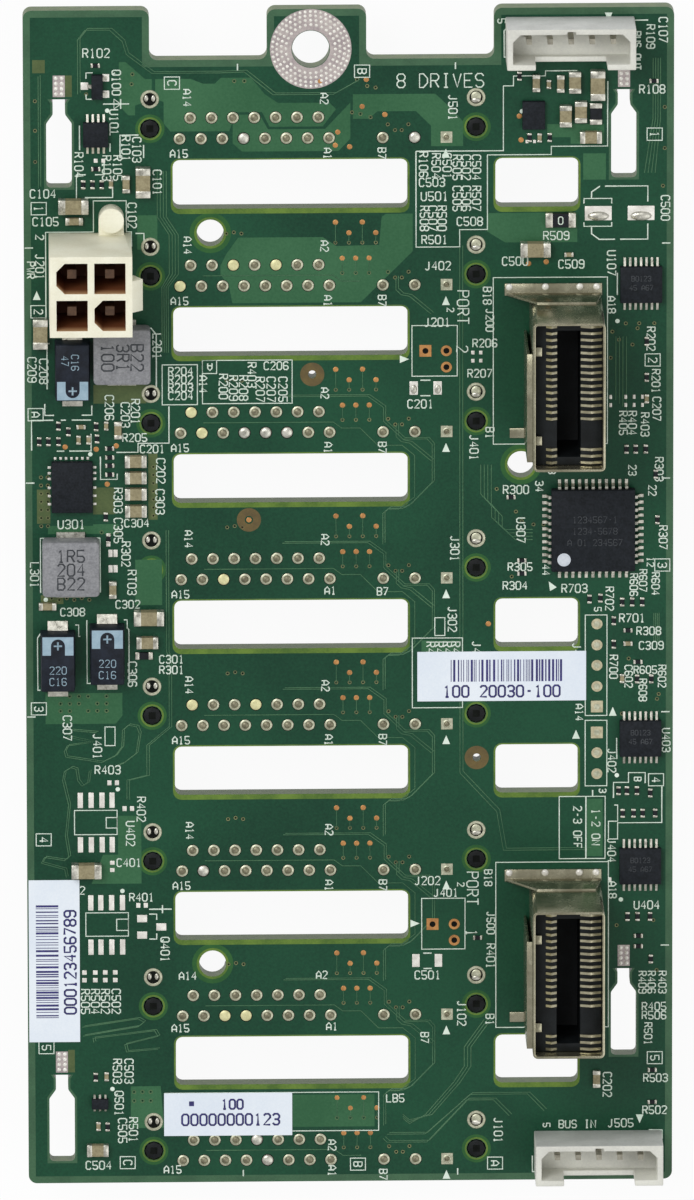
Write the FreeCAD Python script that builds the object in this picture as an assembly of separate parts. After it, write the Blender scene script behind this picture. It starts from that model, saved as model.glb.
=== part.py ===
"""Drive backplane board: one board with eight drive receptacles on its back,
and the cable ports, headers, chips and small parts on its front.

X runs across the board, Y along the column of drives and Z out of the front.
The part stands on the tips of its eight drive receptacles, at Z = 0."""
import FreeCAD
import Part
import math
import os

V = FreeCAD.Vector

# ---- driving dimensions, millimetres ----
board_width = 77.4
board_length = 144.4
board_thickness = 2.36
board_corner_radius = 1.0

# top edge: two recesses leave a tab at each side and one in the middle
recess_depth = 6.1
recess_inner_radius = 1.0
left_tab_width = 15.0
centre_tab_width = 11.8
centre_tab_x = -3.8
right_tab_width = 21.4

screw_hole_diameter = 4.45
screw_hole_x = -4.5
screw_hole_drop = 4.85
tooling_hole_diameter = 3.25
tooling_holes = [(-16.5, 45.0), (20.5, 16.4), (-16.5, -45.0)]
test_hole_diameter = 1.0
test_holes = [(-4.4, 27.6), (15.2, -19.7)]

drive_count = 8
drive_pitch = 18.0
first_drive_y = 56.5
connector_x = -4.25

# air vents between the drives, and the shorter windows in line with some of them
vent_left = -20.95
vent_width = 27.95
vent_top_below_pins = 2.6
vent_height = 5.95
vent_corner_radius = 0.8
window_left = 17.45
window_width = 9.9
window_gaps = [0, 3, 4, 6]

# keyhole mounting slots: (x, y of the top lip)
keyholes = [(-34.45, 61.4), (32.75, 62.2), (-34.65, -58.7), (32.85, -45.95)]
keyhole_length = 10.75
keyhole_width = 3.05
keyhole_neck_width = 1.47
keyhole_lip_width = 2.15
keyhole_lip_height = 0.5
keyhole_neck_height = 1.35
keyhole_shoulder = 1.1
keyhole_corner_radius = 0.55

# drive receptacle, moulded body
receptacle_depth = 8.4
receptacle_width = 5.6
receptacle_flange = 3.0
receptacle_centre_above_pins = 1.75
nose_width = 4.8
nose_short_of_towers = 0.9
slot_wall = 0.7
slot_end_clearance = 0.4
slot_width = 2.7
slot_key_length = 1.6
slot_key_step = 0.5
slot_floor_depth = 5.2
slot_rib_width = 1.1
plug_wall_clearance = 1.0
tower_length = 3.0
tower_width = 4.2
tower_lead_in = 0.7
ear_width = 7.0
ear_above_centre = 0.65
peg_inset = 1.9
peg_hole_diameter = 2.35
peg_clearance = 0.1
peg_below_centre = 0.5
peg_flats = 8
small_hole_sides = 12
corner_chords = 4
lock_above_centre = 3.1
lock_width = 1.9
lock_thickness = 0.45
lock_clearance = 0.05
lock_foot = 0.6

# receptacle contacts
contact_pitch = 1.27
power_contacts = 15
signal_contacts = 7
segment_gap = 6.38
second_port_pitch = 0.8
contact_width = 0.62
second_contact_width = 0.45
contact_root = 0.3
contact_bow = 0.62
contact_tip_recess = 1.0

# cable ports
port_centres = {"a": (25.8, 28.1), "b": (25.8, -44.05)}
port_width = 8.6
port_length = 18.1
port_height = 15.0
port_sheet = 0.3
port_corner_radius = 0.6
port_fit = 0.05
port_insert_height = 13.0
port_slot_width = 2.8
port_slot_depth = 8.5
port_slot_end_wall = 1.0
port_foot_reach = 1.45
port_foot_width = 11.6
port_foot_offset = -1.45
port_plate_height = 5.2
port_plate_top_width = 7.0
port_side_plate_length = 13.2
port_side_plate_height = 12.5
port_side_gap = 0.35
port_latch_width = 1.05
port_latch_places = [5.4, -5.5]
port_side_tab_width = 1.2
port_side_tab_reach = 2.0
port_side_tab_y = -7.8
port_contacts_main = 15
port_contacts_last = 3
port_contact_pitch = 0.8
port_contact_first = 8.2
port_contact_break = 3.75
port_contact_width = 0.3
port_contact_height = 0.4
port_contact_reach = [1.3, 2.5]

# power header, two by two wells
power_x = -30.85
power_y = 40.2
power_width = 9.8
power_height = 12.8
power_pitch = 4.5
power_well = 3.7
power_well_depth = 9.5
power_well_chamfer = 1.0
power_pin = 1.07
power_pin_short_of_mouth = 2.6
power_latch_width = 3.8
power_latch_reach = 1.25
power_latch_height = 3.6
power_nub_width = 1.6
power_nub_reach = 0.5
power_peg_diameter = 3.0
power_peg_height = 2.5
power_peg_x = 2.55
power_peg_y = 6.9

# bus headers, five pins each
bus_length = 15.3
bus_width = 5.0
bus_height = 7.2
bus_wall = 0.7
bus_floor = 1.6
bus_corner_chamfer = 0.9
bus_key_width = 1.0
bus_key_depth = 0.35
bus_window_width = 8.5
bus_window_sill = 2.4
bus_pins = 5
bus_pin_pitch = 2.5
bus_pin_size = 0.64
bus_pin_height = 5.6
bus_pin_above_centre = 0.65
bus_out_x = 26.3
bus_in_x = 29.75
bus_edge_margin = 3.6

# chips: x, y, body length along X, body length along Y, height
controller = (29.1, 8.5, 10.0, 10.0, 1.6)
controller_pins_per_side = 11
controller_pitch = 0.8
buffers = [(34.8, 38.5), (34.8, -17.3), (34.8, -33.1)]
buffer_size = (5.0, 4.4, 1.1)
buffer_pins_per_side = 7
buffer_pitch = 0.65
small_chip = (-30.1, 57.2, 3.0, 3.0, 1.0)
small_chip_pins_per_side = 4
transistor = (-29.9, 63.0, 1.35, 2.95, 1.0)
six_leg_transistor = (-30.1, -62.2, 2.0, 1.25, 0.95)
power_stage = (-33.1, 14.1, 4.9, 6.2, 0.95)
flat_chip = (22.0, 59.2, 2.7, 3.4, 0.8)
chip_standoff = 0.12
lead_thickness = 0.2

# coils and polymer capacitors: x, y of each centre
coils = [(-27.1, 30.5), (-33.3, 4.5)]
coil_length = 6.8
coil_width = 6.7
coil_height = 3.0
coil_corner_radius = 0.5
coil_terminal_width = 3.4
coil_terminal_reach = 0.65
polymer_caps = [(-33.0, 28.6), (-34.9, -7.1), (-29.0, -6.3)]
polymer_length = 7.1
polymer_width = 4.2
polymer_height = 2.8
polymer_taper = 0.12
polymer_terminal_width = 2.4
polymer_terminal_reach = 1.1
polymer_terminal_height = 1.5

# chip parts: length, width, height of each trade size
chip_1206 = (3.6, 1.75, 1.5)
chip_0805 = (2.6, 1.45, 1.0)
chip_0603 = (2.1, 0.9, 0.7)
chip_0402 = (1.1, 0.55, 0.4)
resistor_height_share = 0.55

# chip parts: centres, those lying along X first and those along Y second
caps_1206 = ([(-32.8, 48.5), (-24.0, -2.0), (-31.6, -33.2), (22.2, 42.9)],
             [(-24.5, 51.4), (-36.8, 33.0), (29.6, 62.9)])
caps_0805 = ([(-25.5, 17.2), (-25.5, 15.2), (-25.5, 13.2), (-25.5, 11.1), (-24.2, -5.1),
              (-30.4, -68.0), (28.8, 56.5)],
             [(26.9, 63.2), (25.8, 59.1), (27.6, 59.6)])
caps_0603 = ([(-32.7, 46.6), (-36.1, -0.6)],
             [(-26.5, 51.1), (-27.6, 21.0), (-28.3, 1.4), (22.3, 63.1), (25.2, 63.0), (29.6, -59.6)])
caps_0402 = ([(-32.0, 21.4), (26.2, 42.1), (33.3, -5.7)],
             [(-28.3, 51.1), (-32.3, 19.8), (-31.1, 19.8), (-29.0, 21.5), (-29.3, -58.9),
              (-30.3, -65.1), (22.7, 56.4), (23.8, 62.9), (35.5, 24.4), (32.6, -10.0)])
resistors_1206 = ([(25.2, 46.4)], [])
resistors_0805 = ([], [(29.4, 59.3)])
resistors_0603 = ([(-24.6, -6.8)], [])
resistors_0402 = ([(-30.1, 65.5), (-30.1, 52.9), (-28.6, 18.7), (-28.6, 17.6), (-28.6, 16.6),
                   (-28.6, 15.5), (20.6, 4.6), (20.6, 3.0), (33.3, -4.1), (34.5, -8.0),
                   (34.6, -41.9), (34.6, -43.2), (15.3, -42.0), (36.3, -58.6), (36.3, -62.6),
                   (36.3, 63.2), (19.3, 12.4)],
                  [(-31.6, 51.0), (-30.5, 51.0), (-29.4, 51.0), (-34.7, 21.5), (-37.0, 19.6),
                   (-35.9, 19.6), (-34.7, 19.6), (-33.5, 20.8), (-30.2, 21.4), (-30.1, 19.9),
                   (-29.1, 10.3), (-28.8, 7.6), (35.5, 31.4), (35.5, 27.0), (33.1, 18.2),
                   (34.2, 18.2), (35.4, 18.2), (36.6, 15.1), (36.8, 9.5), (28.7, -0.2),
                   (30.0, -0.1), (32.6, -0.6), (33.8, -0.6), (35.0, -0.6), (31.6, -2.9),
                   (31.6, -5.8), (34.4, -10.1), (36.1, -10.1), (32.2, -23.9), (33.2, -23.9),
                   (34.4, -23.9), (36.0, -24.2), (32.7, -26.7), (34.0, -26.7), (35.1, -26.7),
                   (36.6, -26.7), (33.3, -39.5), (34.5, -39.5), (36.0, -39.5), (36.1, -44.8),
                   (-30.6, -59.0), (-29.2, -65.2), (21.5, 56.4), (23.9, 56.4), (20.3, 63.9)])

# paper labels: left, bottom, width, height
label_thickness = 0.1
left_label_margin = 0.15
upper_label = (8.1, -12.7, 20.2, 6.1)
left_label = (-54.6, 6.1, 20.1)
lower_label = (-22.4, -66.4, 15.4, 5.3)

# status lamps beside each drive, on the back
lamp_size = (0.9, 1.7, 0.7)
lamp_spacing = 2.0
lamp_from_receptacle = 3.05

# ---- places worked out from the dimensions ----
board_bottom = receptacle_depth
board_top = board_bottom + board_thickness
half_width = board_width / 2
half_length = board_length / 2
recess_floor = half_length - recess_depth
drive_rows = [first_drive_y - drive_pitch * n for n in range(drive_count)]
signal_start = contact_pitch * (power_contacts - 1) + segment_gap
contact_run = signal_start + contact_pitch * (signal_contacts - 1)
slot_length = contact_run + contact_width + 2 * slot_end_clearance
nose_length = slot_length + 2 * slot_wall
receptacle_length = nose_length + 2 * (plug_wall_clearance + tower_length)
peg_spacing = receptacle_length - 2 * peg_inset
lamp_x = connector_x - receptacle_length / 2 - lamp_from_receptacle
bus_header_places = {"out": (bus_out_x, half_length - bus_edge_margin),
                     "in": (bus_in_x, -half_length + bus_edge_margin)}
labels = {"upper": upper_label, "left": (-half_width + left_label_margin, *left_label),
          "lower": lower_label}


# ---- basic shapes ----
def block(x0, y0, z0, x1, y1, z1):
    """Box between two corners."""
    return Part.makeBox(x1 - x0, y1 - y0, z1 - z0, V(x0, y0, z0))


def standing_block(x, y, z0, size_x, size_y, z1):
    """Box centred on x, y."""
    return block(x - size_x / 2, y - size_y / 2, z0, x + size_x / 2, y + size_y / 2, z1)


def rounded_wire(corners, z, chords=0):
    """Closed wire through corners (x, y, radius); a zero radius stays sharp.

    Corners that repeat often are drawn with a few chords in place of an arc."""
    count = len(corners)
    ends = []
    arcs = []
    for i in range(count):
        x, y, radius = corners[i]
        here = V(x, y, z)
        before = V(corners[i - 1][0], corners[i - 1][1], z)
        after = V(corners[(i + 1) % count][0], corners[(i + 1) % count][1], z)
        to_before = (before - here).normalize()
        to_after = (after - here).normalize()
        if radius <= 0:
            ends.append((here, here))
            arcs.append(None)
            continue
        half_angle = to_before.getAngle(to_after) / 2
        reach = radius / math.tan(half_angle)
        inward = (to_before + to_after).normalize()
        start = here + to_before * reach
        finish = here + to_after * reach
        centre = here + inward * (radius / math.sin(half_angle))
        ends.append((start, finish))
        if chords:
            turn = math.pi - 2 * half_angle
            arcs.append([turned(start, centre, finish, turn * k / chords) for k in range(chords + 1)])
        else:
            arcs.append([start, centre - inward * radius, finish])
    edges = []
    for i in range(count):
        start, finish = ends[i]
        if arcs[i] is not None and chords:
            edges += [Part.LineSegment(a, b).toShape() for a, b in zip(arcs[i], arcs[i][1:])]
        elif arcs[i] is not None:
            edges.append(Part.Arc(*arcs[i]).toShape())
        following = ends[(i + 1) % count][0]
        if finish.distanceToPoint(following) > 1e-6:
            edges.append(Part.LineSegment(finish, following).toShape())
    return Part.Wire(edges)


def turned(start, centre, finish, angle):
    """Point on the circle about centre, the angle on from start towards finish."""
    spoke = start - centre
    normal = spoke.cross(finish - centre).normalize()
    return centre + spoke * math.cos(angle) + normal.cross(spoke) * math.sin(angle)


def slab(corners, z0, z1, chords=0):
    """Solid between two heights with the outline of rounded_wire."""
    face = Part.Face(rounded_wire(corners, z0, chords))
    return face.extrude(V(0, 0, z1 - z0))


def rounded_block(x0, y0, z0, x1, y1, z1, radius):
    """Box with round upright corners, each of a few chords."""
    corners = [(x0, y0, radius), (x1, y0, radius), (x1, y1, radius), (x0, y1, radius)]
    return slab(corners, z0, z1, corner_chords)


def cylinder(x, y, z0, z1, diameter):
    """Upright cylinder."""
    return Part.makeCylinder(diameter / 2, z1 - z0, V(x, y, z0))


def faceted_pin(x, y, z0, z1, diameter, sides):
    """Upright prism with its corners on a circle."""
    corners = []
    for n in range(sides):
        turn = 2 * math.pi * n / sides
        corners.append((x + diameter / 2 * math.cos(turn), y + diameter / 2 * math.sin(turn), 0))
    return slab(corners, z0, z1)


def profile_bar(points, along, length):
    """Closed polygon of 3-D points pushed along a direction."""
    face = Part.Face(Part.makePolygon(points + [points[0]]))
    return face.extrude(along * length)


def tapered_block(x0, y0, z0, x1, y1, z1, inset):
    """Box whose face at z1 is smaller by inset on every side."""
    wide = [V(x0, y0, z0), V(x1, y0, z0), V(x1, y1, z0), V(x0, y1, z0)]
    narrow = [V(x0 + inset, y0 + inset, z1), V(x1 - inset, y0 + inset, z1),
              V(x1 - inset, y1 - inset, z1), V(x0 + inset, y1 - inset, z1)]
    rings = [wide, narrow]
    for n in range(4):
        rings.append([wide[n - 1], wide[n], narrow[n], narrow[n - 1]])
    faces = [Part.Face(Part.makePolygon(ring + [ring[0]])) for ring in rings]
    solid = Part.makeSolid(Part.makeShell(faces))
    if solid.Volume < 0:
        solid.reverse()
    return solid


def save(name, shape):
    """Write one node."""
    shape.exportStep("parts/" + name + ".step")


# ---- circuit board ----
def board_outline():
    """Outline of the board, from the lower left corner, anticlockwise."""
    outer = board_corner_radius
    inner = recess_inner_radius
    tab_left = centre_tab_x - centre_tab_width / 2
    tab_right = centre_tab_x + centre_tab_width / 2
    left_end = -half_width + left_tab_width
    right_start = half_width - right_tab_width
    return [(-half_width, -half_length, outer), (half_width, -half_length, outer),
            (half_width, half_length, outer), (right_start, half_length, outer),
            (right_start, recess_floor, inner), (tab_right, recess_floor, inner),
            (tab_right, half_length, outer), (tab_left, half_length, outer),
            (tab_left, recess_floor, inner), (left_end, recess_floor, inner),
            (left_end, half_length, outer), (-half_width, half_length, outer)]


def keyhole_cut(x, top, z0, z1):
    """Slot with a wide body, a narrow neck and a flared lip."""
    body = keyhole_width / 2
    neck = keyhole_neck_width / 2
    lip = keyhole_lip_width / 2
    neck_top = top - keyhole_lip_height
    neck_low = neck_top - keyhole_neck_height
    shoulder = neck_low - keyhole_shoulder
    low = top - keyhole_length
    radius = keyhole_corner_radius
    corners = [(x - body, low, radius), (x + body, low, radius), (x + body, shoulder, radius),
               (x + neck, neck_low, radius), (x + neck, neck_top, 0), (x + lip, top, 0),
               (x - lip, top, 0), (x - neck, neck_top, 0), (x - neck, neck_low, radius),
               (x - body, shoulder, radius)]
    return slab(corners, z0, z1, corner_chords)


def circuit_board():
    """The board with every hole that stays open or takes a plastic peg."""
    board = slab(board_outline(), board_bottom, board_top)
    below = board_bottom - 1
    above = board_top + 1
    cuts = [cylinder(screw_hole_x, half_length - screw_hole_drop, below, above, screw_hole_diameter)]
    for x, y in tooling_holes:
        cuts.append(cylinder(x, y, below, above, tooling_hole_diameter))
    for x, y in test_holes:
        cuts.append(faceted_pin(x, y, below, above, test_hole_diameter, small_hole_sides))
    for x, y in keyholes:
        cuts.append(keyhole_cut(x, y, below, above))
    for row in drive_rows:
        for x, y in peg_places(row):
            cuts.append(faceted_pin(x, y, below, above, peg_hole_diameter, small_hole_sides))
    for n in range(drive_count - 1):
        top = drive_rows[n] - vent_top_below_pins
        openings = [(vent_left, vent_width)]
        if n in window_gaps:
            openings.append((window_left, window_width))
        for left, width in openings:
            cuts.append(rounded_block(left, top - vent_height, below, left + width, top, above,
                                      vent_corner_radius))
    return board.cut(Part.makeCompound(cuts))


# ---- drive receptacles ----
def peg_places(row):
    """Centres of the two pegs of the receptacle in this row."""
    y = row + receptacle_centre_above_pins - peg_below_centre
    return [(connector_x - peg_spacing / 2, y), (connector_x + peg_spacing / 2, y)]


def lock_places(row):
    """Centres of the two board locks of the receptacle in this row."""
    y = row + receptacle_centre_above_pins + lock_above_centre
    return [(connector_x - peg_spacing / 2, y), (connector_x + peg_spacing / 2, y)]


def receptacle_housing(row):
    """Flange on the board, nose with a keyed slot, a guide tower at each end, two pegs."""
    x = connector_x
    y = row + receptacle_centre_above_pins
    flange_low = board_bottom - receptacle_flange
    half_nose = nose_length / 2
    half_slot = slot_length / 2
    ear_length = plug_wall_clearance + tower_length
    body = standing_block(x, y, flange_low, receptacle_length, receptacle_width, board_bottom)
    nose = standing_block(x, y, nose_short_of_towers, nose_length, nose_width, flange_low)
    solids = [nose]
    for side in (-1, 1):
        inner = x + side * (half_nose + plug_wall_clearance)
        outer = x + side * receptacle_length / 2
        tower = tapered_block(min(inner, outer), y - tower_width / 2, flange_low,
                              max(inner, outer), y + tower_width / 2, 0, tower_lead_in)
        solids.append(tower)
        ear_x = x + side * (receptacle_length - ear_length) / 2
        solids.append(standing_block(ear_x, y + ear_above_centre, flange_low, ear_length, ear_width,
                                     board_bottom))
    for px, py in peg_places(row):
        solids.append(faceted_pin(px, py, flange_low, board_top, peg_hole_diameter - 2 * peg_clearance,
                                  peg_flats))
    body = body.multiFuse(solids)
    slot_roof = nose_short_of_towers + slot_floor_depth
    cuts = [standing_block(x, y, nose_short_of_towers - 1, 2 * half_slot, slot_width, board_bottom + 1)]
    for side in (-1, 1):
        key_x = x + side * (half_slot - slot_key_length / 2)
        key_y = y + slot_width / 2 + slot_key_step / 2
        cuts.append(standing_block(key_x, key_y, nose_short_of_towers - 1, slot_key_length,
                                   slot_key_step, slot_roof))
    for px, py in lock_places(row):
        cuts.append(standing_block(px, py, flange_low - 1, lock_width + 2 * lock_clearance,
                                   lock_thickness + 2 * lock_clearance, board_bottom + 1))
    body = body.cut(Part.makeCompound(cuts))
    rib = standing_block(x, y, slot_roof, 2 * half_slot, slot_rib_width, board_bottom)
    return body.fuse(rib).removeSplitter()


def receptacle_contacts(row):
    """Bowed beams on both walls of the slot, from the board down to the mouth."""
    y = row + receptacle_centre_above_pins
    first = connector_x - contact_run / 2
    lower = [first + contact_pitch * n for n in range(power_contacts)]
    lower += [first + signal_start + contact_pitch * n for n in range(signal_contacts)]
    gap_middle = first + (contact_pitch * (power_contacts - 1) + signal_start) / 2
    half_run = second_port_pitch * (signal_contacts - 1) / 2
    upper = [gap_middle - half_run + second_port_pitch * n for n in range(signal_contacts)]
    beams = []
    for x in lower:
        beams.append(contact_beam(x, y, -1, contact_width))
    for x in upper:
        beams.append(contact_beam(x, y, 1, second_contact_width))
    return Part.makeCompound(beams)


def contact_beam(x, y, side, width):
    """One beam: thin at the board, standing off the wall near the mouth."""
    wall = y + side * slot_width / 2
    tip = nose_short_of_towers + contact_tip_recess
    points = [V(x - width / 2, wall, tip), V(x - width / 2, wall, board_bottom),
              V(x - width / 2, wall - side * contact_root, board_bottom),
              V(x - width / 2, wall - side * contact_bow, tip + contact_bow)]
    return profile_bar(points, V(1, 0, 0), width)


def board_lock(x, y):
    """Metal strip through the flange, with a foot that hooks under it."""
    flange_low = board_bottom - receptacle_flange
    half = lock_thickness / 2
    low = flange_low - lock_thickness
    left = x - lock_width / 2
    points = [V(left, y + half, board_bottom), V(left, y - half, board_bottom), V(left, y - half, low),
              V(left, y + half + lock_foot, low), V(left, y + half + lock_foot, flange_low),
              V(left, y + half, flange_low)]
    return profile_bar(points, V(1, 0, 0), lock_width)


# ---- cable ports ----
def port_cage(x, y):
    """Folded sheet cage: four walls, a foot with solder tabs, and a doubled side wall."""
    half_x = port_width / 2
    half_y = port_length / 2
    top = board_top + port_height
    cage = rounded_block(x - half_x, y - half_y, board_top, x + half_x, y + half_y, top,
                         port_corner_radius)
    hollow = rounded_block(x - half_x + port_sheet, y - half_y + port_sheet, board_top - 1,
                           x + half_x - port_sheet, y + half_y - port_sheet, top + 1,
                           port_corner_radius - port_sheet)
    foot_left = x + port_foot_offset - port_foot_width / 2
    foot_right = foot_left + port_foot_width
    foot = block(foot_left, y + half_y, board_top, foot_right, y + half_y + port_foot_reach,
                 board_top + port_sheet)
    upright = [V(foot_left, y + half_y, board_top), V(foot_right, y + half_y, board_top),
               V(x + port_plate_top_width / 2, y + half_y, board_top + port_plate_height),
               V(x - port_plate_top_width / 2, y + half_y, board_top + port_plate_height)]
    plate = profile_bar(upright, V(0, 1, 0), port_sheet)
    side_x = x - half_x - port_side_gap
    side_start = y - half_y + port_corner_radius
    side = block(side_x - port_sheet, side_start, board_top, side_x,
                 side_start + port_side_plate_length, board_top + port_side_plate_height)
    fold = block(side_x - port_sheet, side_start, board_top + port_side_plate_height - port_sheet,
                 x - half_x, side_start + port_side_plate_length, board_top + port_side_plate_height)
    tab_y = y + port_side_tab_y
    tab = block(side_x - port_side_tab_reach, tab_y - port_side_tab_width / 2, board_top,
                side_x, tab_y + port_side_tab_width / 2, board_top + port_sheet)
    cage = cage.cut(hollow)
    return cage.multiFuse([foot, plate, side, fold, tab]).removeSplitter()


def port_insert(x, y):
    """Moulded insert with one long slot for the plug's card edge."""
    half_x = port_width / 2 - port_sheet - port_fit
    half_y = port_length / 2 - port_sheet - port_fit
    top = board_top + port_insert_height
    insert = rounded_block(x - half_x, y - half_y, board_top, x + half_x, y + half_y, top,
                           port_corner_radius - port_sheet)
    slot = block(x - port_slot_width / 2, y - half_y + port_slot_end_wall, top - port_slot_depth,
                 x + port_slot_width / 2, y + half_y - port_slot_end_wall, top + 1)
    return insert.cut(slot)


def port_contacts(x, y):
    """Two rows of ridged blades on the insert, one on each side of its slot."""
    low = board_top + port_insert_height
    places = [y + port_contact_first - port_contact_pitch * n for n in range(port_contacts_main)]
    last = places[-1] - port_contact_break
    places += [last - port_contact_pitch * n for n in range(port_contacts_last)]
    blades = []
    for place in places:
        for side, reach in zip((-1, 1), port_contact_reach):
            inner = x + side * port_slot_width / 2
            outer = inner + side * reach
            start = place - port_contact_width / 2
            points = [V(inner, start, low), V(outer, start, low),
                      V((inner + outer) / 2, start, low + port_contact_height)]
            blades.append(profile_bar(points, V(0, 1, 0), port_contact_width))
    return Part.makeCompound(blades)


# ---- power header ----
def power_header_body():
    """Four wells in one body, with a latch ramp, a nub and a locating peg on an arm."""
    half = power_width / 2
    top = board_top + power_height
    body = standing_block(power_x, power_y, board_top, power_width, power_width, top)
    right = power_x + half
    ramp = [V(right, power_y, top - power_latch_height), V(right, power_y, top),
            V(right + power_latch_reach, power_y, top - power_latch_reach)]
    latch = profile_bar(ramp, V(0, 1, 0), power_latch_width)
    latch.translate(V(0, -power_latch_width / 2, 0))
    nub = block(power_x + power_nub_width, power_y - half - power_nub_reach, board_top,
                power_x + 2 * power_nub_width, power_y - half, top - power_latch_height)
    peg_x = power_x + power_peg_x
    peg_y = power_y + power_peg_y
    boss = cylinder(peg_x, peg_y, board_top, board_top + power_peg_height, power_peg_diameter)
    arm = block(peg_x - power_peg_diameter / 2, power_y + half, board_top,
                peg_x + power_peg_diameter / 2, peg_y, board_top + power_peg_height / 2)
    body = body.multiFuse([latch, nub, boss, arm])
    wells = []
    for column in (-1, 1):
        for line in (-1, 1):
            wells.append(power_well_cut(column, line, top))
    return body.cut(Part.makeCompound(wells))


def power_well_cut(column, line, top):
    """One well; two of the four have their left corners cut off, as keys."""
    x = power_x + column * power_pitch / 2
    y = power_y + line * power_pitch / 2
    half = power_well / 2
    cut = power_well_chamfer if column != line else 0
    floor = top - power_well_depth
    points = [V(x + half, y - half, floor), V(x + half, y + half, floor)]
    if cut:
        points += [V(x - half + cut, y + half, floor), V(x - half, y + half - cut, floor),
                   V(x - half, y - half + cut, floor), V(x - half + cut, y - half, floor)]
    else:
        points += [V(x - half, y + half, floor), V(x - half, y - half, floor)]
    return profile_bar(points, V(0, 0, 1), power_well_depth + 1)


def power_header_pins():
    """Four square pins standing on the well floors."""
    low = board_top + power_height - power_well_depth
    high = board_top + power_height - power_pin_short_of_mouth
    pins = []
    for column in (-1, 1):
        for line in (-1, 1):
            pins.append(standing_block(power_x + column * power_pitch / 2, power_y + line * power_pitch / 2,
                                       low, power_pin, power_pin, high))
    return Part.makeCompound(pins)


# ---- bus headers ----
def bus_header_body(x, y):
    """Open-topped header: chamfered back corners, a key groove and a low front window."""
    half_x = bus_length / 2
    half_y = bus_width / 2
    top = board_top + bus_height
    floor = board_top + bus_floor
    inner_x = half_x - bus_wall
    inner_y = half_y - bus_wall
    cut = bus_corner_chamfer
    body = standing_block(x, y, board_top, bus_length, bus_width, top)
    mouth = [V(x - inner_x, y - inner_y, floor), V(x + inner_x, y - inner_y, floor),
             V(x + inner_x, y + inner_y - cut, floor), V(x + inner_x - cut, y + inner_y, floor),
             V(x - inner_x + cut, y + inner_y, floor), V(x - inner_x, y + inner_y - cut, floor)]
    hollow = profile_bar(mouth, V(0, 0, 1), bus_height)
    key = standing_block(x, y + inner_y, floor, bus_key_width, 2 * bus_key_depth, top + 1)
    window = standing_block(x, y - half_y, board_top + bus_window_sill, bus_window_width,
                            2 * bus_wall + 0.1, top + 1)
    return body.cut(Part.makeCompound([hollow, key, window]))


def bus_header_pins(x, y):
    """Five square pins standing on the header's floor."""
    low = board_top + bus_floor
    high = board_top + bus_pin_height
    first = x - bus_pin_pitch * (bus_pins - 1) / 2
    pins = []
    for n in range(bus_pins):
        pins.append(standing_block(first + bus_pin_pitch * n, y + bus_pin_above_centre, low,
                                   bus_pin_size, bus_pin_size, high))
    return Part.makeCompound(pins)


# ---- chips and their legs ----
def chip_body(x, y, size_x, size_y, height):
    """Moulded chip body, held a little off the board."""
    low = board_top + chip_standoff
    return standing_block(x, y, low, size_x, size_y, board_top + height)


def gull_leg(place, outward, across, reach, height, width):
    """One leg: out of the body, down, and flat on the board. place is where it leaves."""
    middle = board_top + height / 2
    knee = reach * 0.3
    ankle = reach * 0.55
    low = board_top

    def point(out, z):
        return V(place[0], place[1], 0) + outward * out - across * (width / 2) + V(0, 0, z)

    points = [point(0, middle), point(ankle, low), point(reach, low),
              point(reach, low + lead_thickness), point(ankle, low + lead_thickness),
              point(knee, middle + lead_thickness), point(0, middle + lead_thickness)]
    return profile_bar(points, across, width)


def plain_leg(place, outward, across, reach, width):
    """Short stub leg, flat on the board."""
    start = V(place[0], place[1], board_top) - across * (width / 2)
    points = [start, start + outward * reach, start + outward * reach + V(0, 0, lead_thickness),
              start + V(0, 0, 2.5 * lead_thickness)]
    return profile_bar(points, across, width)


def leg_row(x, y, outward, half_body, count, pitch, reach, height, width, gull):
    """A row of legs on one side of a chip."""
    across = V(-outward.y, outward.x, 0)
    legs = []
    for n in range(count):
        offset = pitch * (n - (count - 1) / 2)
        place = V(x, y, 0) + outward * half_body + across * offset
        if gull:
            legs.append(gull_leg(place, outward, across, reach, height, width))
        else:
            legs.append(plain_leg(place, outward, across, reach, width))
    return legs


def controller_legs():
    """Legs on all four sides of the controller chip."""
    x, y, size_x, size_y, height = controller
    legs = []
    for outward in (V(1, 0, 0), V(0, 1, 0), V(-1, 0, 0), V(0, -1, 0)):
        half = size_x / 2 if outward.x else size_y / 2
        legs += leg_row(x, y, outward, half, controller_pins_per_side, controller_pitch, 1.05,
                        height, 0.35, True)
    return Part.makeCompound(legs)


def two_row_legs(chip, count, pitch, reach, width):
    """Legs on the upper and lower sides of a chip."""
    x, y, size_x, size_y, height = chip
    legs = leg_row(x, y, V(0, 1, 0), size_y / 2, count, pitch, reach, height, width, False)
    legs += leg_row(x, y, V(0, -1, 0), size_y / 2, count, pitch, reach, height, width, False)
    return legs


def transistor_legs():
    """Two legs on one side and one on the other, and the six-legged one's."""
    x, y, size_x, size_y, height = transistor
    legs = leg_row(x, y, V(1, 0, 0), size_x / 2, 2, 1.9, 0.5, height, 0.42, False)
    legs += leg_row(x, y, V(-1, 0, 0), size_x / 2, 1, 1.9, 0.5, height, 0.42, False)
    legs += two_row_legs(six_leg_transistor, 3, 0.65, 0.4, 0.25)
    return Part.makeCompound(legs)


# ---- coils and polymer capacitors ----
def coil_body(x, y):
    """Pressed-powder coil block with softened upright corners."""
    return rounded_block(x - coil_length / 2, y - coil_width / 2, board_top,
                         x + coil_length / 2, y + coil_width / 2, board_top + coil_height,
                         coil_corner_radius)


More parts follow.
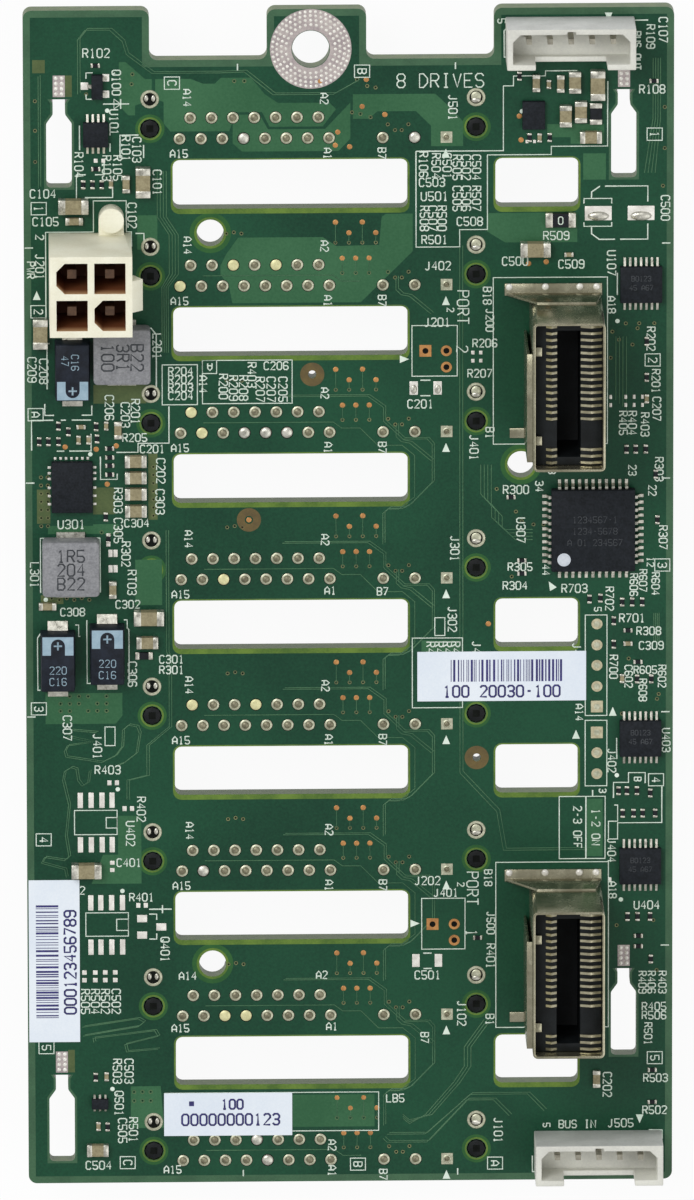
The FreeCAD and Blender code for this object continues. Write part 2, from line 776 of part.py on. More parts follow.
def coil_terminals(x, y):
    """Flat tinned terminal at the upper and the lower end."""
    terminals = []
    for side in (-1, 1):
        start = y + side * coil_width / 2
        finish = start + side * coil_terminal_reach
        terminals.append(block(x - coil_terminal_width / 2, min(start, finish), board_top,
                               x + coil_terminal_width / 2, max(start, finish),
                               board_top + 2 * lead_thickness))
    return terminals


def polymer_body(x, y):
    """Moulded capacitor body, slightly narrower at its top."""
    return tapered_block(x - polymer_width / 2, y - polymer_length / 2, board_top,
                         x + polymer_width / 2, y + polymer_length / 2,
                         board_top + polymer_height, polymer_taper)


def polymer_terminals(x, y):
    """Terminal at each end: a foot on the board with a sloped heel."""
    terminals = []
    for side in (-1, 1):
        start = y + side * polymer_length / 2
        foot = start + side * polymer_terminal_reach
        left = x - polymer_terminal_width / 2
        points = [V(left, start, board_top), V(left, foot, board_top),
                  V(left, foot, board_top + lead_thickness), V(left, start, board_top + 0.5)]
        terminals.append(profile_bar(points, V(1, 0, 0), polymer_terminal_width))
    return terminals


# ---- chip parts ----
def chip_parts(places, size, height):
    """Small two-ended parts: those along X, then those along Y."""
    length, width, _ = size
    along_x, along_y = places
    top = board_top + height
    parts = [standing_block(x, y, board_top, length, width, top) for x, y in along_x]
    parts += [standing_block(x, y, board_top, width, length, top) for x, y in along_y]
    return parts


def resistors(places, size):
    """Chip resistors, flatter than capacitors of the same outline."""
    return chip_parts(places, size, size[2] * resistor_height_share)


# ---- status lamps ----
def status_lamps():
    """Two lamps beside each drive, hanging from the back of the board."""
    lamps = []
    size_x, size_y, height = lamp_size
    for row in drive_rows:
        for side in (-1, 1):
            lamps.append(standing_block(lamp_x + side * lamp_spacing / 2,
                                        row + receptacle_centre_above_pins,
                                        board_bottom - height, size_x, size_y, board_bottom))
    return Part.makeCompound(lamps)


def build_all():
    """Build and write every node."""
    os.makedirs("parts", exist_ok=True)
    save("circuit_board", circuit_board())
    locks = []
    for n, row in enumerate(drive_rows, start=1):
        save(f"drive_receptacle_{n}_housing", receptacle_housing(row))
        save(f"drive_receptacle_{n}_contacts", receptacle_contacts(row))
        locks += [board_lock(x, y) for x, y in lock_places(row)]
    save("receptacle_board_locks", Part.makeCompound(locks))
    save("status_lamps", status_lamps())
    for name, (x, y) in port_centres.items():
        save(f"cable_port_{name}_cage", port_cage(x, y))
        save(f"cable_port_{name}_insert", port_insert(x, y))
        save(f"cable_port_{name}_contacts", port_contacts(x, y))
    save("power_header_body", power_header_body())
    save("power_header_pins", power_header_pins())
    for name, (x, y) in bus_header_places.items():
        save(f"bus_header_{name}_body", bus_header_body(x, y))
        save(f"bus_header_{name}_pins", bus_header_pins(x, y))
    save("controller_chip_body", chip_body(*controller))
    save("controller_chip_legs", controller_legs())
    for n, (x, y) in enumerate(buffers, start=1):
        chip = (x, y, *buffer_size)
        save(f"buffer_chip_{n}_body", chip_body(*chip))
        save(f"buffer_chip_{n}_legs",
             Part.makeCompound(two_row_legs(chip, buffer_pins_per_side, buffer_pitch, 1.0, 0.27)))
    save("small_chip_body", chip_body(*small_chip))
    save("small_chip_legs",
         Part.makeCompound(two_row_legs(small_chip, small_chip_pins_per_side, buffer_pitch, 0.9, 0.27)))
    save("transistor_bodies", Part.makeCompound([chip_body(*transistor), chip_body(*six_leg_transistor)]))
    save("transistor_legs", transistor_legs())
    save("power_stage_chip", standing_block(*power_stage[:2], board_top, *power_stage[2:4],
                                            board_top + power_stage[4]))
    save("flat_chip", standing_block(*flat_chip[:2], board_top, *flat_chip[2:4],
                                     board_top + flat_chip[4]))
    save("coil_bodies", Part.makeCompound([coil_body(x, y) for x, y in coils]))
    save("coil_terminals", Part.makeCompound([t for x, y in coils for t in coil_terminals(x, y)]))
    save("polymer_capacitor_bodies", Part.makeCompound([polymer_body(x, y) for x, y in polymer_caps]))
    save("polymer_capacitor_terminals",
         Part.makeCompound([t for x, y in polymer_caps for t in polymer_terminals(x, y)]))
    large = chip_parts(caps_1206, chip_1206, chip_1206[2]) + chip_parts(caps_0805, chip_0805, chip_0805[2])
    small = chip_parts(caps_0603, chip_0603, chip_0603[2]) + chip_parts(caps_0402, chip_0402, chip_0402[2])
    save("large_ceramic_capacitors", Part.makeCompound(large))
    save("small_ceramic_capacitors", Part.makeCompound(small))
    large = resistors(resistors_1206, chip_1206) + resistors(resistors_0805, chip_0805)
    small = resistors(resistors_0603, chip_0603) + resistors(resistors_0402, chip_0402)
    save("large_resistors", Part.makeCompound(large))
    save("small_resistors", Part.makeCompound(small))
    for name, (left, low, width, height) in labels.items():
        save(f"{name}_label", block(left, low, board_top, left + width, low + height,
                                    board_top + label_thickness))


build_all()
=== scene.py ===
"""Looks of a drive backplane board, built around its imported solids.

Lengths are written in millimetres and turned into metres where they meet Blender.
X and Y lie in the board, and heights are given above its front face unless a name says back."""

import math
import random

import bpy
from mathutils import Matrix, Vector


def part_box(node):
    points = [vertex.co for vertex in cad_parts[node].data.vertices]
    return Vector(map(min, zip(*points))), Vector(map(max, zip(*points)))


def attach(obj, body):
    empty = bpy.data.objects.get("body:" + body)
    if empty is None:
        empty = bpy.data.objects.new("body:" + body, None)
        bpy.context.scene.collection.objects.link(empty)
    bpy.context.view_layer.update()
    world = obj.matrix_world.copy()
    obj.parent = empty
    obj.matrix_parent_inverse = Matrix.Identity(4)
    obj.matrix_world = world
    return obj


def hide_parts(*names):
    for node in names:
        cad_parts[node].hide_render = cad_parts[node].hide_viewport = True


bl_info = {
    "name": "Drive backplane board",
    "version": (1, 0, 0),
    "blender": (4, 5, 0),
    "location": "View3D > Sidebar > Backplane",
    "description": "Builds the finishes and fine detail of a drive backplane board",
    "category": "Object",
}

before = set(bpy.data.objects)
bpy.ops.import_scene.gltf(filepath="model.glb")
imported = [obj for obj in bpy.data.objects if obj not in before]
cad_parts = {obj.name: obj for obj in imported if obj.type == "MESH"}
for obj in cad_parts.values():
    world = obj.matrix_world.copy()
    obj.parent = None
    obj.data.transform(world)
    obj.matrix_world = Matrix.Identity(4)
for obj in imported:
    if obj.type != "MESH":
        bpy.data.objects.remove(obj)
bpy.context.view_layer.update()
BODY = "root"
MM = 0.001
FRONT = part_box("circuit_board")[1].z / MM
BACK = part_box("circuit_board")[0].z / MM
DRIVES = range(1, 9)
DOWN = -90

# sizes, in millimetres
CONTACT_PITCH = 2.54
JOINT_RADIUS = 0.69
LABEL_THICKNESS = 0.1
# power header: middle of the four wells, their reach from it, and the height of their rim
WELLS = (-30.85, 40.2)
WELL_REACH = 4.4
WELL_RIM = 12.6
# tops of the marked parts above the board's face
COIL_TOP = 3.0
CAPACITOR_TOP = 2.8
CONTROLLER_TOP = 1.6
BUFFER_TOP = 1.1
POWER_CHIP_TOP = 0.9
# shaping of copied and repeated pieces
BORE_STRETCH = 2.8
RELIEF_DEPTH = 0.02 * MM
CORNER_STEPS = 4
BAND_NOTCH = 0.84
END_SHARE = 0.24
# heights of the thin layers above the face they lie on
MASK_RISE = 0.012
INK_RISE = 0.012
FAINT_RISE = 0.0145
GLOW_RISE = 0.016
POUR_RISE = 0.018
SHEET_STEP = 0.0004
HALO_RISE = 0.024
SEAT_RISE = 0.026
TRACE_RISE = 0.028
TIN_RISE = 0.03
PRINT_RISE = 0.045
MARK_RISE = 0.05


# ---- selection and editing helpers ----
def deselect_all():
    """Leave edit mode and select nothing."""
    if bpy.context.object and bpy.context.object.mode != "OBJECT":
        bpy.ops.object.mode_set(mode="OBJECT")
    bpy.ops.object.select_all(action="DESELECT")


def activate(piece):
    """Make one piece the only selected and the active one."""
    deselect_all()
    piece.select_set(True)
    bpy.context.view_layer.objects.active = piece


def select_faces(piece, test):
    """Select the faces whose centre and normal, in millimetres, pass the test."""
    activate(piece)
    bpy.ops.object.mode_set(mode="EDIT")
    bpy.ops.mesh.select_all(action="DESELECT")
    bpy.ops.object.mode_set(mode="OBJECT")
    for face in piece.data.polygons:
        face.select = bool(test(face.center / MM, face.normal))
    bpy.ops.object.mode_set(mode="EDIT")
    bpy.ops.mesh.select_mode(type="FACE")


def leave_edit():
    """Back to object mode."""
    bpy.ops.object.mode_set(mode="OBJECT")


def apply_place(piece):
    """Put a piece's place, turn and size into its mesh."""
    activate(piece)
    bpy.ops.object.transform_apply(location=True, rotation=True, scale=True)
    return piece


def add_block(low, high):
    """Cube between two corners, in millimetres."""
    deselect_all()
    low, high = Vector(low), Vector(high)
    bpy.ops.mesh.primitive_cube_add(size=1, location=(low + high) / 2 * MM)
    piece = bpy.context.object
    piece.scale = (high - low) * MM
    return apply_place(piece)


def stepped_disc(x, y, z, radius, sides, steps):
    """Filled disc whose face is drawn in and raised, step by step: width and rise of each."""
    deselect_all()
    bpy.ops.mesh.primitive_circle_add(vertices=sides, radius=radius * MM, fill_type="NGON",
                                      location=(x * MM, y * MM, z * MM))
    disc = apply_place(bpy.context.object)
    select_faces(disc, lambda centre, normal: True)
    for width, rise in steps:
        bpy.ops.mesh.inset(thickness=width * MM, depth=rise * MM)
    leave_edit()
    return disc


def dished_disc(x, y, z, radius, sides):
    """Disc whose middle is set a little lower than its rim."""
    return stepped_disc(x, y, z, radius, sides, [(radius * 0.3, -0.01)])


def bevel(piece, width, segments=2):
    """Round the edges that turn by more than a little."""
    activate(piece)
    modifier = piece.modifiers.new("soft_edges", "BEVEL")
    modifier.width = width * MM
    modifier.segments = segments
    modifier.limit_method = "ANGLE"
    modifier.angle_limit = math.radians(30)
    modifier.use_clamp_overlap = True
    bpy.ops.object.modifier_apply(modifier=modifier.name)
    bpy.ops.object.shade_smooth_by_angle(angle=math.radians(40))
    return piece


def join(pieces):
    """One object out of several."""
    deselect_all()
    for piece in pieces:
        piece.select_set(True)
    bpy.context.view_layer.objects.active = pieces[0]
    if len(pieces) > 1:
        bpy.ops.object.join()
    return bpy.context.object


def stamp(model, places):
    """Copies of a model at (x, y, z, turn in degrees, scale), each with its own mesh, joined."""
    copies = []
    for x, y, z, turn, size in places:
        copy = model.copy()
        copy.data = model.data.copy()
        scale = Matrix.Diagonal((*size, 1)) if hasattr(size, "__len__") else Matrix.Scale(size, 4)
        move = Matrix.Translation((x * MM, y * MM, z * MM))
        copy.data.transform(move @ Matrix.Rotation(math.radians(turn), 4, "Z") @ scale)
        bpy.context.scene.collection.objects.link(copy)
        copies.append(copy)
    bpy.data.objects.remove(model)
    return join(copies)


def bore(piece, x, y, radius):
    """Cut a hole through a piece, along Z, round at its upper end and stretched towards -Y."""
    deselect_all()
    bpy.ops.mesh.primitive_cylinder_add(vertices=40, radius=radius * MM, depth=60 * MM,
                                        location=(x * MM, (y - BORE_STRETCH / 2) * MM, 0))
    cutter = bpy.context.object
    cutter.scale.y = 1 + BORE_STRETCH / radius / 2
    apply_place(cutter)
    activate(piece)
    modifier = piece.modifiers.new("bore", "BOOLEAN")
    modifier.operation = "DIFFERENCE"
    modifier.object = cutter
    bpy.ops.object.modifier_apply(modifier=modifier.name)
    bpy.data.objects.remove(cutter)


def cad_copy(node, width, bores=()):
    """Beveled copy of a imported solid, with holes cut at the given x, y and radius."""
    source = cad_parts[node]
    copy = source.copy()
    copy.data = source.data.copy()
    copy.parent = None
    for key in list(copy.keys()):
        del copy[key]
    bpy.context.scene.collection.objects.link(copy)
    activate(copy)
    bpy.ops.object.mode_set(mode="EDIT")
    bpy.ops.mesh.select_all(action="SELECT")
    bpy.ops.mesh.remove_doubles(threshold=0.002 * MM)
    bpy.ops.mesh.dissolve_limited(angle_limit=math.radians(2))
    leave_edit()
    for x, y, radius in bores:
        bore(copy, x, y, radius)
    return bevel(copy, width)


def loose_boxes(node):
    """Corners, in millimetres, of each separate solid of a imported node."""
    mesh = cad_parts[node].data
    owner = {}
    keys = [tuple(round(c, 6) for c in v.co) for v in mesh.vertices]

    def root(key):
        while owner.setdefault(key, key) != key:
            key = owner[key]
        return key

    for face in mesh.polygons:
        first = root(keys[face.vertices[0]])
        for index in face.vertices[1:]:
            owner[root(keys[index])] = first
    groups = {}
    for key in set(keys):
        groups.setdefault(root(key), []).append(key)
    boxes = []
    for points in groups.values():
        low = Vector(min(p[i] for p in points) for i in range(3)) / MM
        high = Vector(max(p[i] for p in points) for i in range(3)) / MM
        boxes.append((low, high))
    return sorted(boxes, key=lambda box: (round(box[0].y, 3), round(box[0].x, 3)))


def finish_piece(piece, name, material, replaces=()):
    """Name a piece, give it its finish and tie it to the board."""
    piece.name = name
    piece.data.name = name
    if material is not None:
        piece.data.materials.clear()
        piece.data.materials.append(finish(material))
    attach(piece, BODY)
    if replaces:
        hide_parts(*replaces)
    return piece


def paint_faces(piece, material, test):
    """Give the faces that pass the test a second finish."""
    piece.data.materials.append(finish(material))
    index = len(piece.data.materials) - 1
    for face in piece.data.polygons:
        if test(face.center / MM, face.normal):
            face.material_index = index


# ---- lines, lettering and flat shapes on the board ----
GLYPHS = {
    "0": "10-30-41-45-36-16-05-01-10", "1": "10-30 20-26-15", "2": "05-16-36-45-44-00-40",
    "3": "05-16-36-45-44-33-13 33-42-41-30-10-01", "4": "30-36-02-42",
    "5": "46-06-03-33-42-41-30-10-01", "6": "45-36-16-05-01-10-30-41-42-33-03", "7": "06-46-10",
    "8": "13-04-05-16-36-45-44-33-13-02-01-10-30-41-42-33", "9": "01-10-30-41-45-36-16-05-04-13-43",
    "A": "00-04-26-44-40 02-42", "B": "00-06-36-45-44-33-03 33-42-41-30-00",
    "C": "41-30-10-01-05-16-36-45", "D": "00-06-26-44-42-20-00", "E": "40-00-06-46 03-33",
    "F": "00-06-46 03-33", "H": "00-06 40-46 03-43", "I": "10-30 20-26 16-36", "J": "01-10-20-31-36",
    "K": "00-06 46-03-40", "L": "06-00-40", "M": "00-06-23-46-40", "N": "00-06-40-46",
    "O": "10-30-41-45-36-16-05-01-10", "P": "00-06-36-45-44-33-03",
    "Q": "10-30-41-45-36-16-05-01-10 22-40", "R": "00-06-36-45-44-33-03 23-40",
    "S": "01-10-30-41-42-33-13-04-05-16-36-45", "T": "20-26 06-46", "U": "06-01-10-30-41-46",
    "W": "06-10-23-30-46", "X": "00-46 06-40", "-": "13-33", "+": "21-25 03-43", "/": "00-46",
    "V": "06-20-46", ".": "20-21", "=": "02-42 04-44", " ": "",
}
# cells of the letter grid: height, step to the next letter, width of the last one, narrowing
GLYPH_HEIGHT = 6
GLYPH_ADVANCE = 4.85
GLYPH_WIDTH = 3.4
GLYPH_NARROWING = 0.86


def lettering(text, x, y, height, turn=0):
    """Strokes of a line of text whose middle is at x, y."""
    unit = height / GLYPH_HEIGHT
    width = (GLYPH_ADVANCE * (len(text) - 1) + GLYPH_WIDTH) * unit
    cos, sin = math.cos(math.radians(turn)), math.sin(math.radians(turn))
    strokes = []
    for place, sign in enumerate(text):
        left = place * GLYPH_ADVANCE * unit - width / 2
        for stroke in GLYPHS[sign].split():
            points = []
            for mark in stroke.split("-"):
                across = left + int(mark[0]) * unit * GLYPH_NARROWING
                up = int(mark[1]) * unit - height / 2
                points.append((x + across * cos - up * sin, y + across * sin + up * cos))
            strokes.append(points)
    return strokes


def curve_mesh(lines, closed, **settings):
    """Mesh of a curve along lines of points; a line that ends where it starts is closed too."""
    curve = bpy.data.curves.new("lines", "CURVE")
    for key, value in settings.items():
        setattr(curve, key, value)
    for line in lines:
        loop = line[0] == line[-1] and len(line) > 3
        points = line[:-1] if loop else line
        spline = curve.splines.new("POLY")
        spline.points.add(len(points) - 1)
        for point, (x, y) in zip(spline.points, points):
            point.co = (x * MM, y * MM, 0, 1)
        spline.use_cyclic_u = loop or closed
    piece = bpy.data.objects.new("lines", curve)
    bpy.context.scene.collection.objects.link(piece)
    activate(piece)
    bpy.ops.object.convert(target="MESH")
    return bpy.context.object


def ribbons(lines, width, z, height=0.02):
    """Low flat ribbons along lines of points."""
    piece = curve_mesh(lines, False, dimensions="3D", bevel_depth=width / 2 * MM, bevel_resolution=0,
                       use_fill_caps=True)
    piece.scale.z = height / width
    piece.location.z = z * MM
    return apply_place(piece)


def flat_shapes(outlines, z):
    """Filled flat shapes; each outline is a list of corners in the board plane."""
    piece = curve_mesh(outlines, True, dimensions="2D", fill_mode="BOTH")
    bpy.ops.object.mode_set(mode="EDIT")
    bpy.ops.mesh.select_all(action="SELECT")
    bpy.ops.mesh.remove_doubles(threshold=0.001 * MM)
    bpy.ops.mesh.normals_make_consistent(inside=False)
    leave_edit()
    piece.location.z = z * MM
    apply_place(piece)
    if piece.data.polygons and piece.data.polygons[0].normal.z < 0:
        piece.data.flip_normals()
    return piece


def rectangle(left, low, right, high):
    """Corners of a rectangle."""
    return [(left, low), (right, low), (right, high), (left, high)]


def frame_line(left, low, right, high):
    """A rectangle as one closed line."""
    corners = rectangle(left, low, right, high)
    return corners + [corners[0]]


# ---- colours and shared shader groups ----
def srgb(red, green, blue):
    """Linear colour of three 0 to 255 values."""
    values = []
    for value in (red, green, blue):
        share = value / 255
        values.append(share / 12.92 if share <= 0.04045 else ((share + 0.055) / 1.055) ** 2.4)
    return (*values, 1.0)


def set_inputs(tree, node, inputs):
    """Give each named input a value, or wire it to an output socket."""
    for name, value in inputs.items():
        if isinstance(value, bpy.types.NodeSocket):
            tree.links.new(value, node.inputs[name])
        else:
            node.inputs[name].default_value = value


def add_node(tree, kind, inputs=None, **settings):
    """Shader node with its settings and inputs."""
    node = tree.nodes.new("ShaderNode" + kind)
    for key, value in settings.items():
        setattr(node, key, value)
    set_inputs(tree, node, inputs or {})
    return node


def build_mottle_group():
    """Two colours mixed by soft blotches and fine speckle, and a height for a bump."""
    group = bpy.data.node_groups.new("mottle", "ShaderNodeTree")
    for name, in_out, kind, default in (
            ("Colour A", "INPUT", "NodeSocketColor", None),
            ("Colour B", "INPUT", "NodeSocketColor", None),
            ("Blotch Scale", "INPUT", "NodeSocketFloat", 200.0),
            ("Speckle Scale", "INPUT", "NodeSocketFloat", 4000.0),
            ("Speckle Share", "INPUT", "NodeSocketFloat", 0.3),
            ("Color", "OUTPUT", "NodeSocketColor", None),
            ("Height", "OUTPUT", "NodeSocketFloat", None),
            ("Mask", "OUTPUT", "NodeSocketFloat", None)):
        socket = group.interface.new_socket(name=name, in_out=in_out, socket_type=kind)
        if default is not None:
            socket.default_value = default
    given = group.nodes.new("NodeGroupInput").outputs
    place = add_node(group, "TexCoord").outputs["Object"]
    blotch, speckle = [
        add_node(group, "TexNoise", {"Vector": place, "Scale": given[scale],
                                     "Detail": detail}).outputs["Fac"]
        for scale, detail in (("Blotch Scale", 3.0), ("Speckle Scale", 2.0))]
    blend = add_node(group, "Mix", {"Factor": given["Speckle Share"], "A": blotch, "B": speckle})
    spread = add_node(group, "MapRange", {"Value": blend.outputs["Result"], "From Min": 0.36,
                                          "From Max": 0.64}).outputs["Result"]
    colour = add_node(group, "Mix", {"Factor": spread, "A": given["Colour A"], "B": given["Colour B"]},
                      data_type="RGBA")
    set_inputs(group, group.nodes.new("NodeGroupOutput"),
               {"Color": colour.outputs["Result"], "Height": speckle, "Mask": spread})


def finish(name):
    """Finish made by build_materials."""
    return bpy.data.materials["finish_" + name]


def new_material(name, roughness, metallic=0.0, specular=0.5, coat=0.0):
    """Node tree and Principled shader of a new material."""
    material = bpy.data.materials.new("finish_" + name)
    material.use_nodes = True
    tree = material.node_tree
    shader = tree.nodes["Principled BSDF"]
    set_inputs(tree, shader, {"Roughness": roughness, "Metallic": metallic,
                              "Specular IOR Level": specular, "Coat Weight": coat})
    return tree, shader


def mottle_node(tree, light, dark, blotch=200.0, speckle=4000.0, share=0.3):
    """The shared mottle group, placed in a material with its own values."""
    light, dark = [tuple(tone) if len(tone) == 4 else srgb(*tone) for tone in (light, dark)]
    return add_node(tree, "Group", {"Colour A": dark, "Colour B": light, "Blotch Scale": blotch,
                                    "Speckle Scale": speckle, "Speckle Share": share},
                    node_tree=bpy.data.node_groups["mottle"])


def mottled(name, light, dark, roughness, metallic=0.0, bump=0.0, rough_spread=0.0, specular=0.5,
            coat=0.0, **pattern):
    """Finish of two near colours, with optional bump and uneven roughness."""
    tree, shader = new_material(name, roughness, metallic, specular, coat)
    mottle = mottle_node(tree, light, dark, **pattern)
    set_inputs(tree, shader, {"Base Color": mottle.outputs["Color"]})
    if bump:
        relief = add_node(tree, "Bump", {"Strength": bump, "Distance": RELIEF_DEPTH,
                                         "Height": mottle.outputs["Height"]})
        set_inputs(tree, shader, {"Normal": relief.outputs["Normal"]})
    if rough_spread:
        spread = add_node(tree, "MapRange", {"Value": mottle.outputs["Mask"],
                                             "To Min": roughness - rough_spread,
                                             "To Max": roughness + rough_spread})
        set_inputs(tree, shader, {"Roughness": spread.outputs["Result"]})
    return tree, shader, mottle


def build_laminate():
    """Board core: bare green faces, and the yellow-green of glass cloth on the cut walls."""
    tree, shader, mottle = mottled("laminate", (58, 100, 68), (44, 84, 56), 0.42, blotch=400.0, share=0.4,
                                   bump=0.15)
    wall = mottle_node(tree, (94, 114, 58), (66, 92, 40), blotch=900.0)
    place = add_node(tree, "TexCoord")
    split = add_node(tree, "SeparateXYZ", {"Vector": place.outputs["Normal"]})
    flat = add_node(tree, "Math", {0: split.outputs["Z"]}, operation="ABSOLUTE")
    chosen = add_node(tree, "Mix", {"Factor": flat.outputs[0], "A": wall.outputs["Color"],
                                    "B": mottle.outputs["Color"]}, data_type="RGBA")
    set_inputs(tree, shader, {"Base Color": chosen.outputs["Result"]})


def build_painted_well_shade():
    """Painted shade in the wells of the power header: a deep brown that turns paler towards their rim."""
    tree, shader = new_material("painted_well_shade", 0.5, specular=0.2)
    place = add_node(tree, "TexCoord")
    parts = add_node(tree, "SeparateXYZ", {"Vector": place.outputs["Object"]})
    rise = add_node(tree, "MapRange", {"Value": parts.outputs["Z"], "From Min": (FRONT + 10.4) * MM,
                                       "From Max": (FRONT + WELL_RIM) * MM})
    blend = add_node(tree, "Mix", {"Factor": rise.outputs["Result"], "A": srgb(116, 70, 44),
                                   "B": srgb(190, 152, 112)}, data_type="RGBA")
    set_inputs(tree, shader, {"Base Color": blend.outputs["Result"]})


def build_materials():
    """Every finish of the board and its parts."""
    colours = bpy.context.scene.backplane_colours
    build_mottle_group()
    build_laminate()
    mottled("mask_over_plane", colours.mask, (14, 58, 40), 0.4, blotch=60.0, speckle=3500.0, share=0.4,
            bump=0.08, rough_spread=0.05, specular=0.22, coat=0.06)
    mottled("mask_over_pour", (58, 106, 72), (44, 92, 60), 0.4, blotch=90.0, speckle=3500.0, share=0.4,
            bump=0.08, specular=0.22, coat=0.06)
    mottled("mask_over_fill", (92, 106, 66), (72, 88, 54), 0.4, blotch=400.0, specular=0.22)
    mottled("light_through_edge", (104, 132, 54), (74, 104, 44), 0.45, blotch=400.0, specular=0.2)
    mottled("light_under_mask", (50, 98, 50), (38, 84, 44), 0.45, blotch=400.0, specular=0.2)
    mottled("mask_over_trace", (84, 126, 92), (62, 104, 76), 0.4, blotch=250.0, specular=0.3)
    mottled("silk_print", colours.silk, (206, 224, 208), 0.65, blotch=900.0, specular=0.3)
    mottled("solder", (226, 224, 212), (170, 168, 156), 0.34, metallic=0.8, blotch=1500.0, bump=0.25,
            rough_spread=0.1)
    mottled("worn_tin", (208, 208, 184), (166, 168, 144), 0.42, metallic=0.7, blotch=1700.0, share=0.5,
            bump=0.15)
    mottled("tan_tin", (206, 198, 166), (172, 164, 134), 0.42, metallic=0.3, blotch=1500.0)
    # darker pin ends in the joints: partly the pins' duller metal, partly painted shade of the recess
    mottled("dull_pin_and_recess_shade", (146, 142, 118), (108, 104, 84), 0.45, metallic=0.6, blotch=1700.0)
    mottled("pale_tin", (232, 228, 176), (204, 200, 150), 0.4, metallic=0.3, blotch=1500.0)
    mottled("pink_tin", (192, 182, 178), (158, 146, 148), 0.5, metallic=0.2, blotch=700.0, share=0.4,
            bump=0.1)
    mottled("bump_tin", (244, 242, 234), (214, 210, 202), 0.35, metallic=0.2, blotch=900.0)
    # pins deep in the power header's wells, their metal painted dark brown: painted shade
    mottled("painted_shade_well_pin", (112, 84, 60), (80, 58, 42), 0.45, metallic=0.2, blotch=900.0)
    mottled("pin_metal", (190, 186, 170), (150, 146, 132), 0.32, metallic=0.9, blotch=900.0, bump=0.1)
    mottled("port_contact", (206, 200, 172), (164, 158, 132), 0.3, metallic=0.85, blotch=900.0)
    mottled("gold_contact", (214, 190, 130), (180, 156, 100), 0.28, metallic=0.95, blotch=900.0)
    mottled("bare_copper", (202, 146, 84), (168, 116, 64), 0.42, metallic=0.3, blotch=900.0)
    mottled("cage_steel", (174, 170, 147), (146, 142, 119), 0.24, metallic=0.88, blotch=350.0,
            speckle=2600.0, bump=0.1, rough_spread=0.05)
    mottled("black_nylon", (24, 28, 30), (12, 15, 16), 0.5, blotch=500.0, bump=0.1, specular=0.2)
    mottled("cream_nylon", (244, 242, 222), (232, 228, 204), 0.45, blotch=250.0, bump=0.05, specular=0.3)
    # painted shade inside the wells of the power header
    build_painted_well_shade()
    mottled("white_nylon", (226, 226, 216), (206, 206, 198), 0.48, blotch=220.0, bump=0.05, specular=0.3)
    # greyer copy of the white nylon: painted shade on the back faces of the bus headers
    mottled("painted_shade_nylon", (208, 210, 206), (188, 190, 186), 0.5, blotch=300.0, bump=0.05, specular=0.3)
    mottled("chip_epoxy", (34, 38, 44), (20, 24, 28), 0.6, blotch=1200.0, share=0.6, bump=0.12,
            specular=0.16)
    mottled("chip_mark", (76, 80, 84), (58, 62, 66), 0.6, specular=0.2)
    mottled("chip_dot", (214, 220, 226), (188, 196, 206), 0.6, blotch=1500.0)
    mottled("coil_grey", (150, 151, 154), (121, 122, 126), 0.55, blotch=1400.0, share=0.5, bump=0.15,
            specular=0.3)
    mottled("coil_mark", (76, 80, 84), (64, 68, 72), 0.6, specular=0.2)
    mottled("navy_epoxy", (34, 40, 52), (20, 24, 32), 0.5, blotch=900.0, bump=0.1, specular=0.2)
    mottled("pale_band", (160, 184, 198), (140, 166, 182), 0.5, blotch=900.0, specular=0.2)
    mottled("tan_ceramic", (160, 151, 120), (132, 123, 95), 0.5, blotch=1600.0, share=0.5, bump=0.06,
            specular=0.25)
    mottled("resistor_black", (26, 30, 36), (14, 17, 21), 0.4, blotch=1600.0, specular=0.25)
    mottled("label_paper", colours.paper, (222, 231, 242), 0.65, blotch=120.0, bump=0.03, specular=0.2)
    mottled("label_ink", colours.ink, (38, 36, 96), 0.6, blotch=600.0)
    mottled("lamp_resin", (222, 230, 200), (200, 210, 176), 0.25, blotch=600.0)
    mottled("via_rim", (120, 122, 80), (92, 96, 62), 0.5, metallic=0.2)
    mottled("stained_laminate", (104, 86, 40), (84, 70, 34), 0.5, blotch=900.0)
    # dark finish for holes, hollows and the rims round joints: painted shade
    mottled("painted_dark_shade", (18, 22, 18), (8, 10, 8), 0.7, blotch=900.0, specular=0.1)


# ---- board surfaces ----
ROWS = [56.5 - 18.0 * n for n in range(8)]
KEYHOLES = [(-34.45, 61.4), (32.75, 62.2), (-34.65, -58.7), (32.85, -45.95)]
TOOLING_HOLE = 3.25
TOOLING_RISE = 6.5
SCREW_HOLE = (-4.5, 67.35)
FIDUCIALS = [(-4.4, 27.6), (-12.0, 9.8), (15.2, -19.7)]
ROUND_HOLES = [(-16.5, 45.0, TOOLING_HOLE), (20.5, 16.4, TOOLING_HOLE), (-16.5, -45.0, TOOLING_HOLE),
               (*FIDUCIALS[0], 1.0), (*FIDUCIALS[2], 1.0), (*SCREW_HOLE, 4.45)]
WINDOW_ROWS = (0, 3, 4, 6)
VENT = (-20.95, 7.0)
WINDOW = (17.45, 27.35)
PEGS_X = (-23.65, 15.15)
PEG_RISE = 1.25
OPENING_LOW, OPENING_HIGH = -8.55, -2.6


def arc_points(x, y, radius, sides=28):
    """Corners of a round outline."""
    return [(x + radius * math.cos(2 * math.pi * n / sides),
             y + radius * math.sin(2 * math.pi * n / sides)) for n in range(sides)]


def rounded(left, low, right, high, radius):
    """Rectangle with round corners."""
    points = []
    for x, y, start in ((right - radius, low + radius, -90), (right - radius, high - radius, 0),
                        (left + radius, high - radius, 90), (left + radius, low + radius, 180)):
        for n in range(CORNER_STEPS + 1):
            turn = math.radians(start + 90 * n / CORNER_STEPS)
            points.append((x + radius * math.cos(turn), y + radius * math.sin(turn)))
    return points


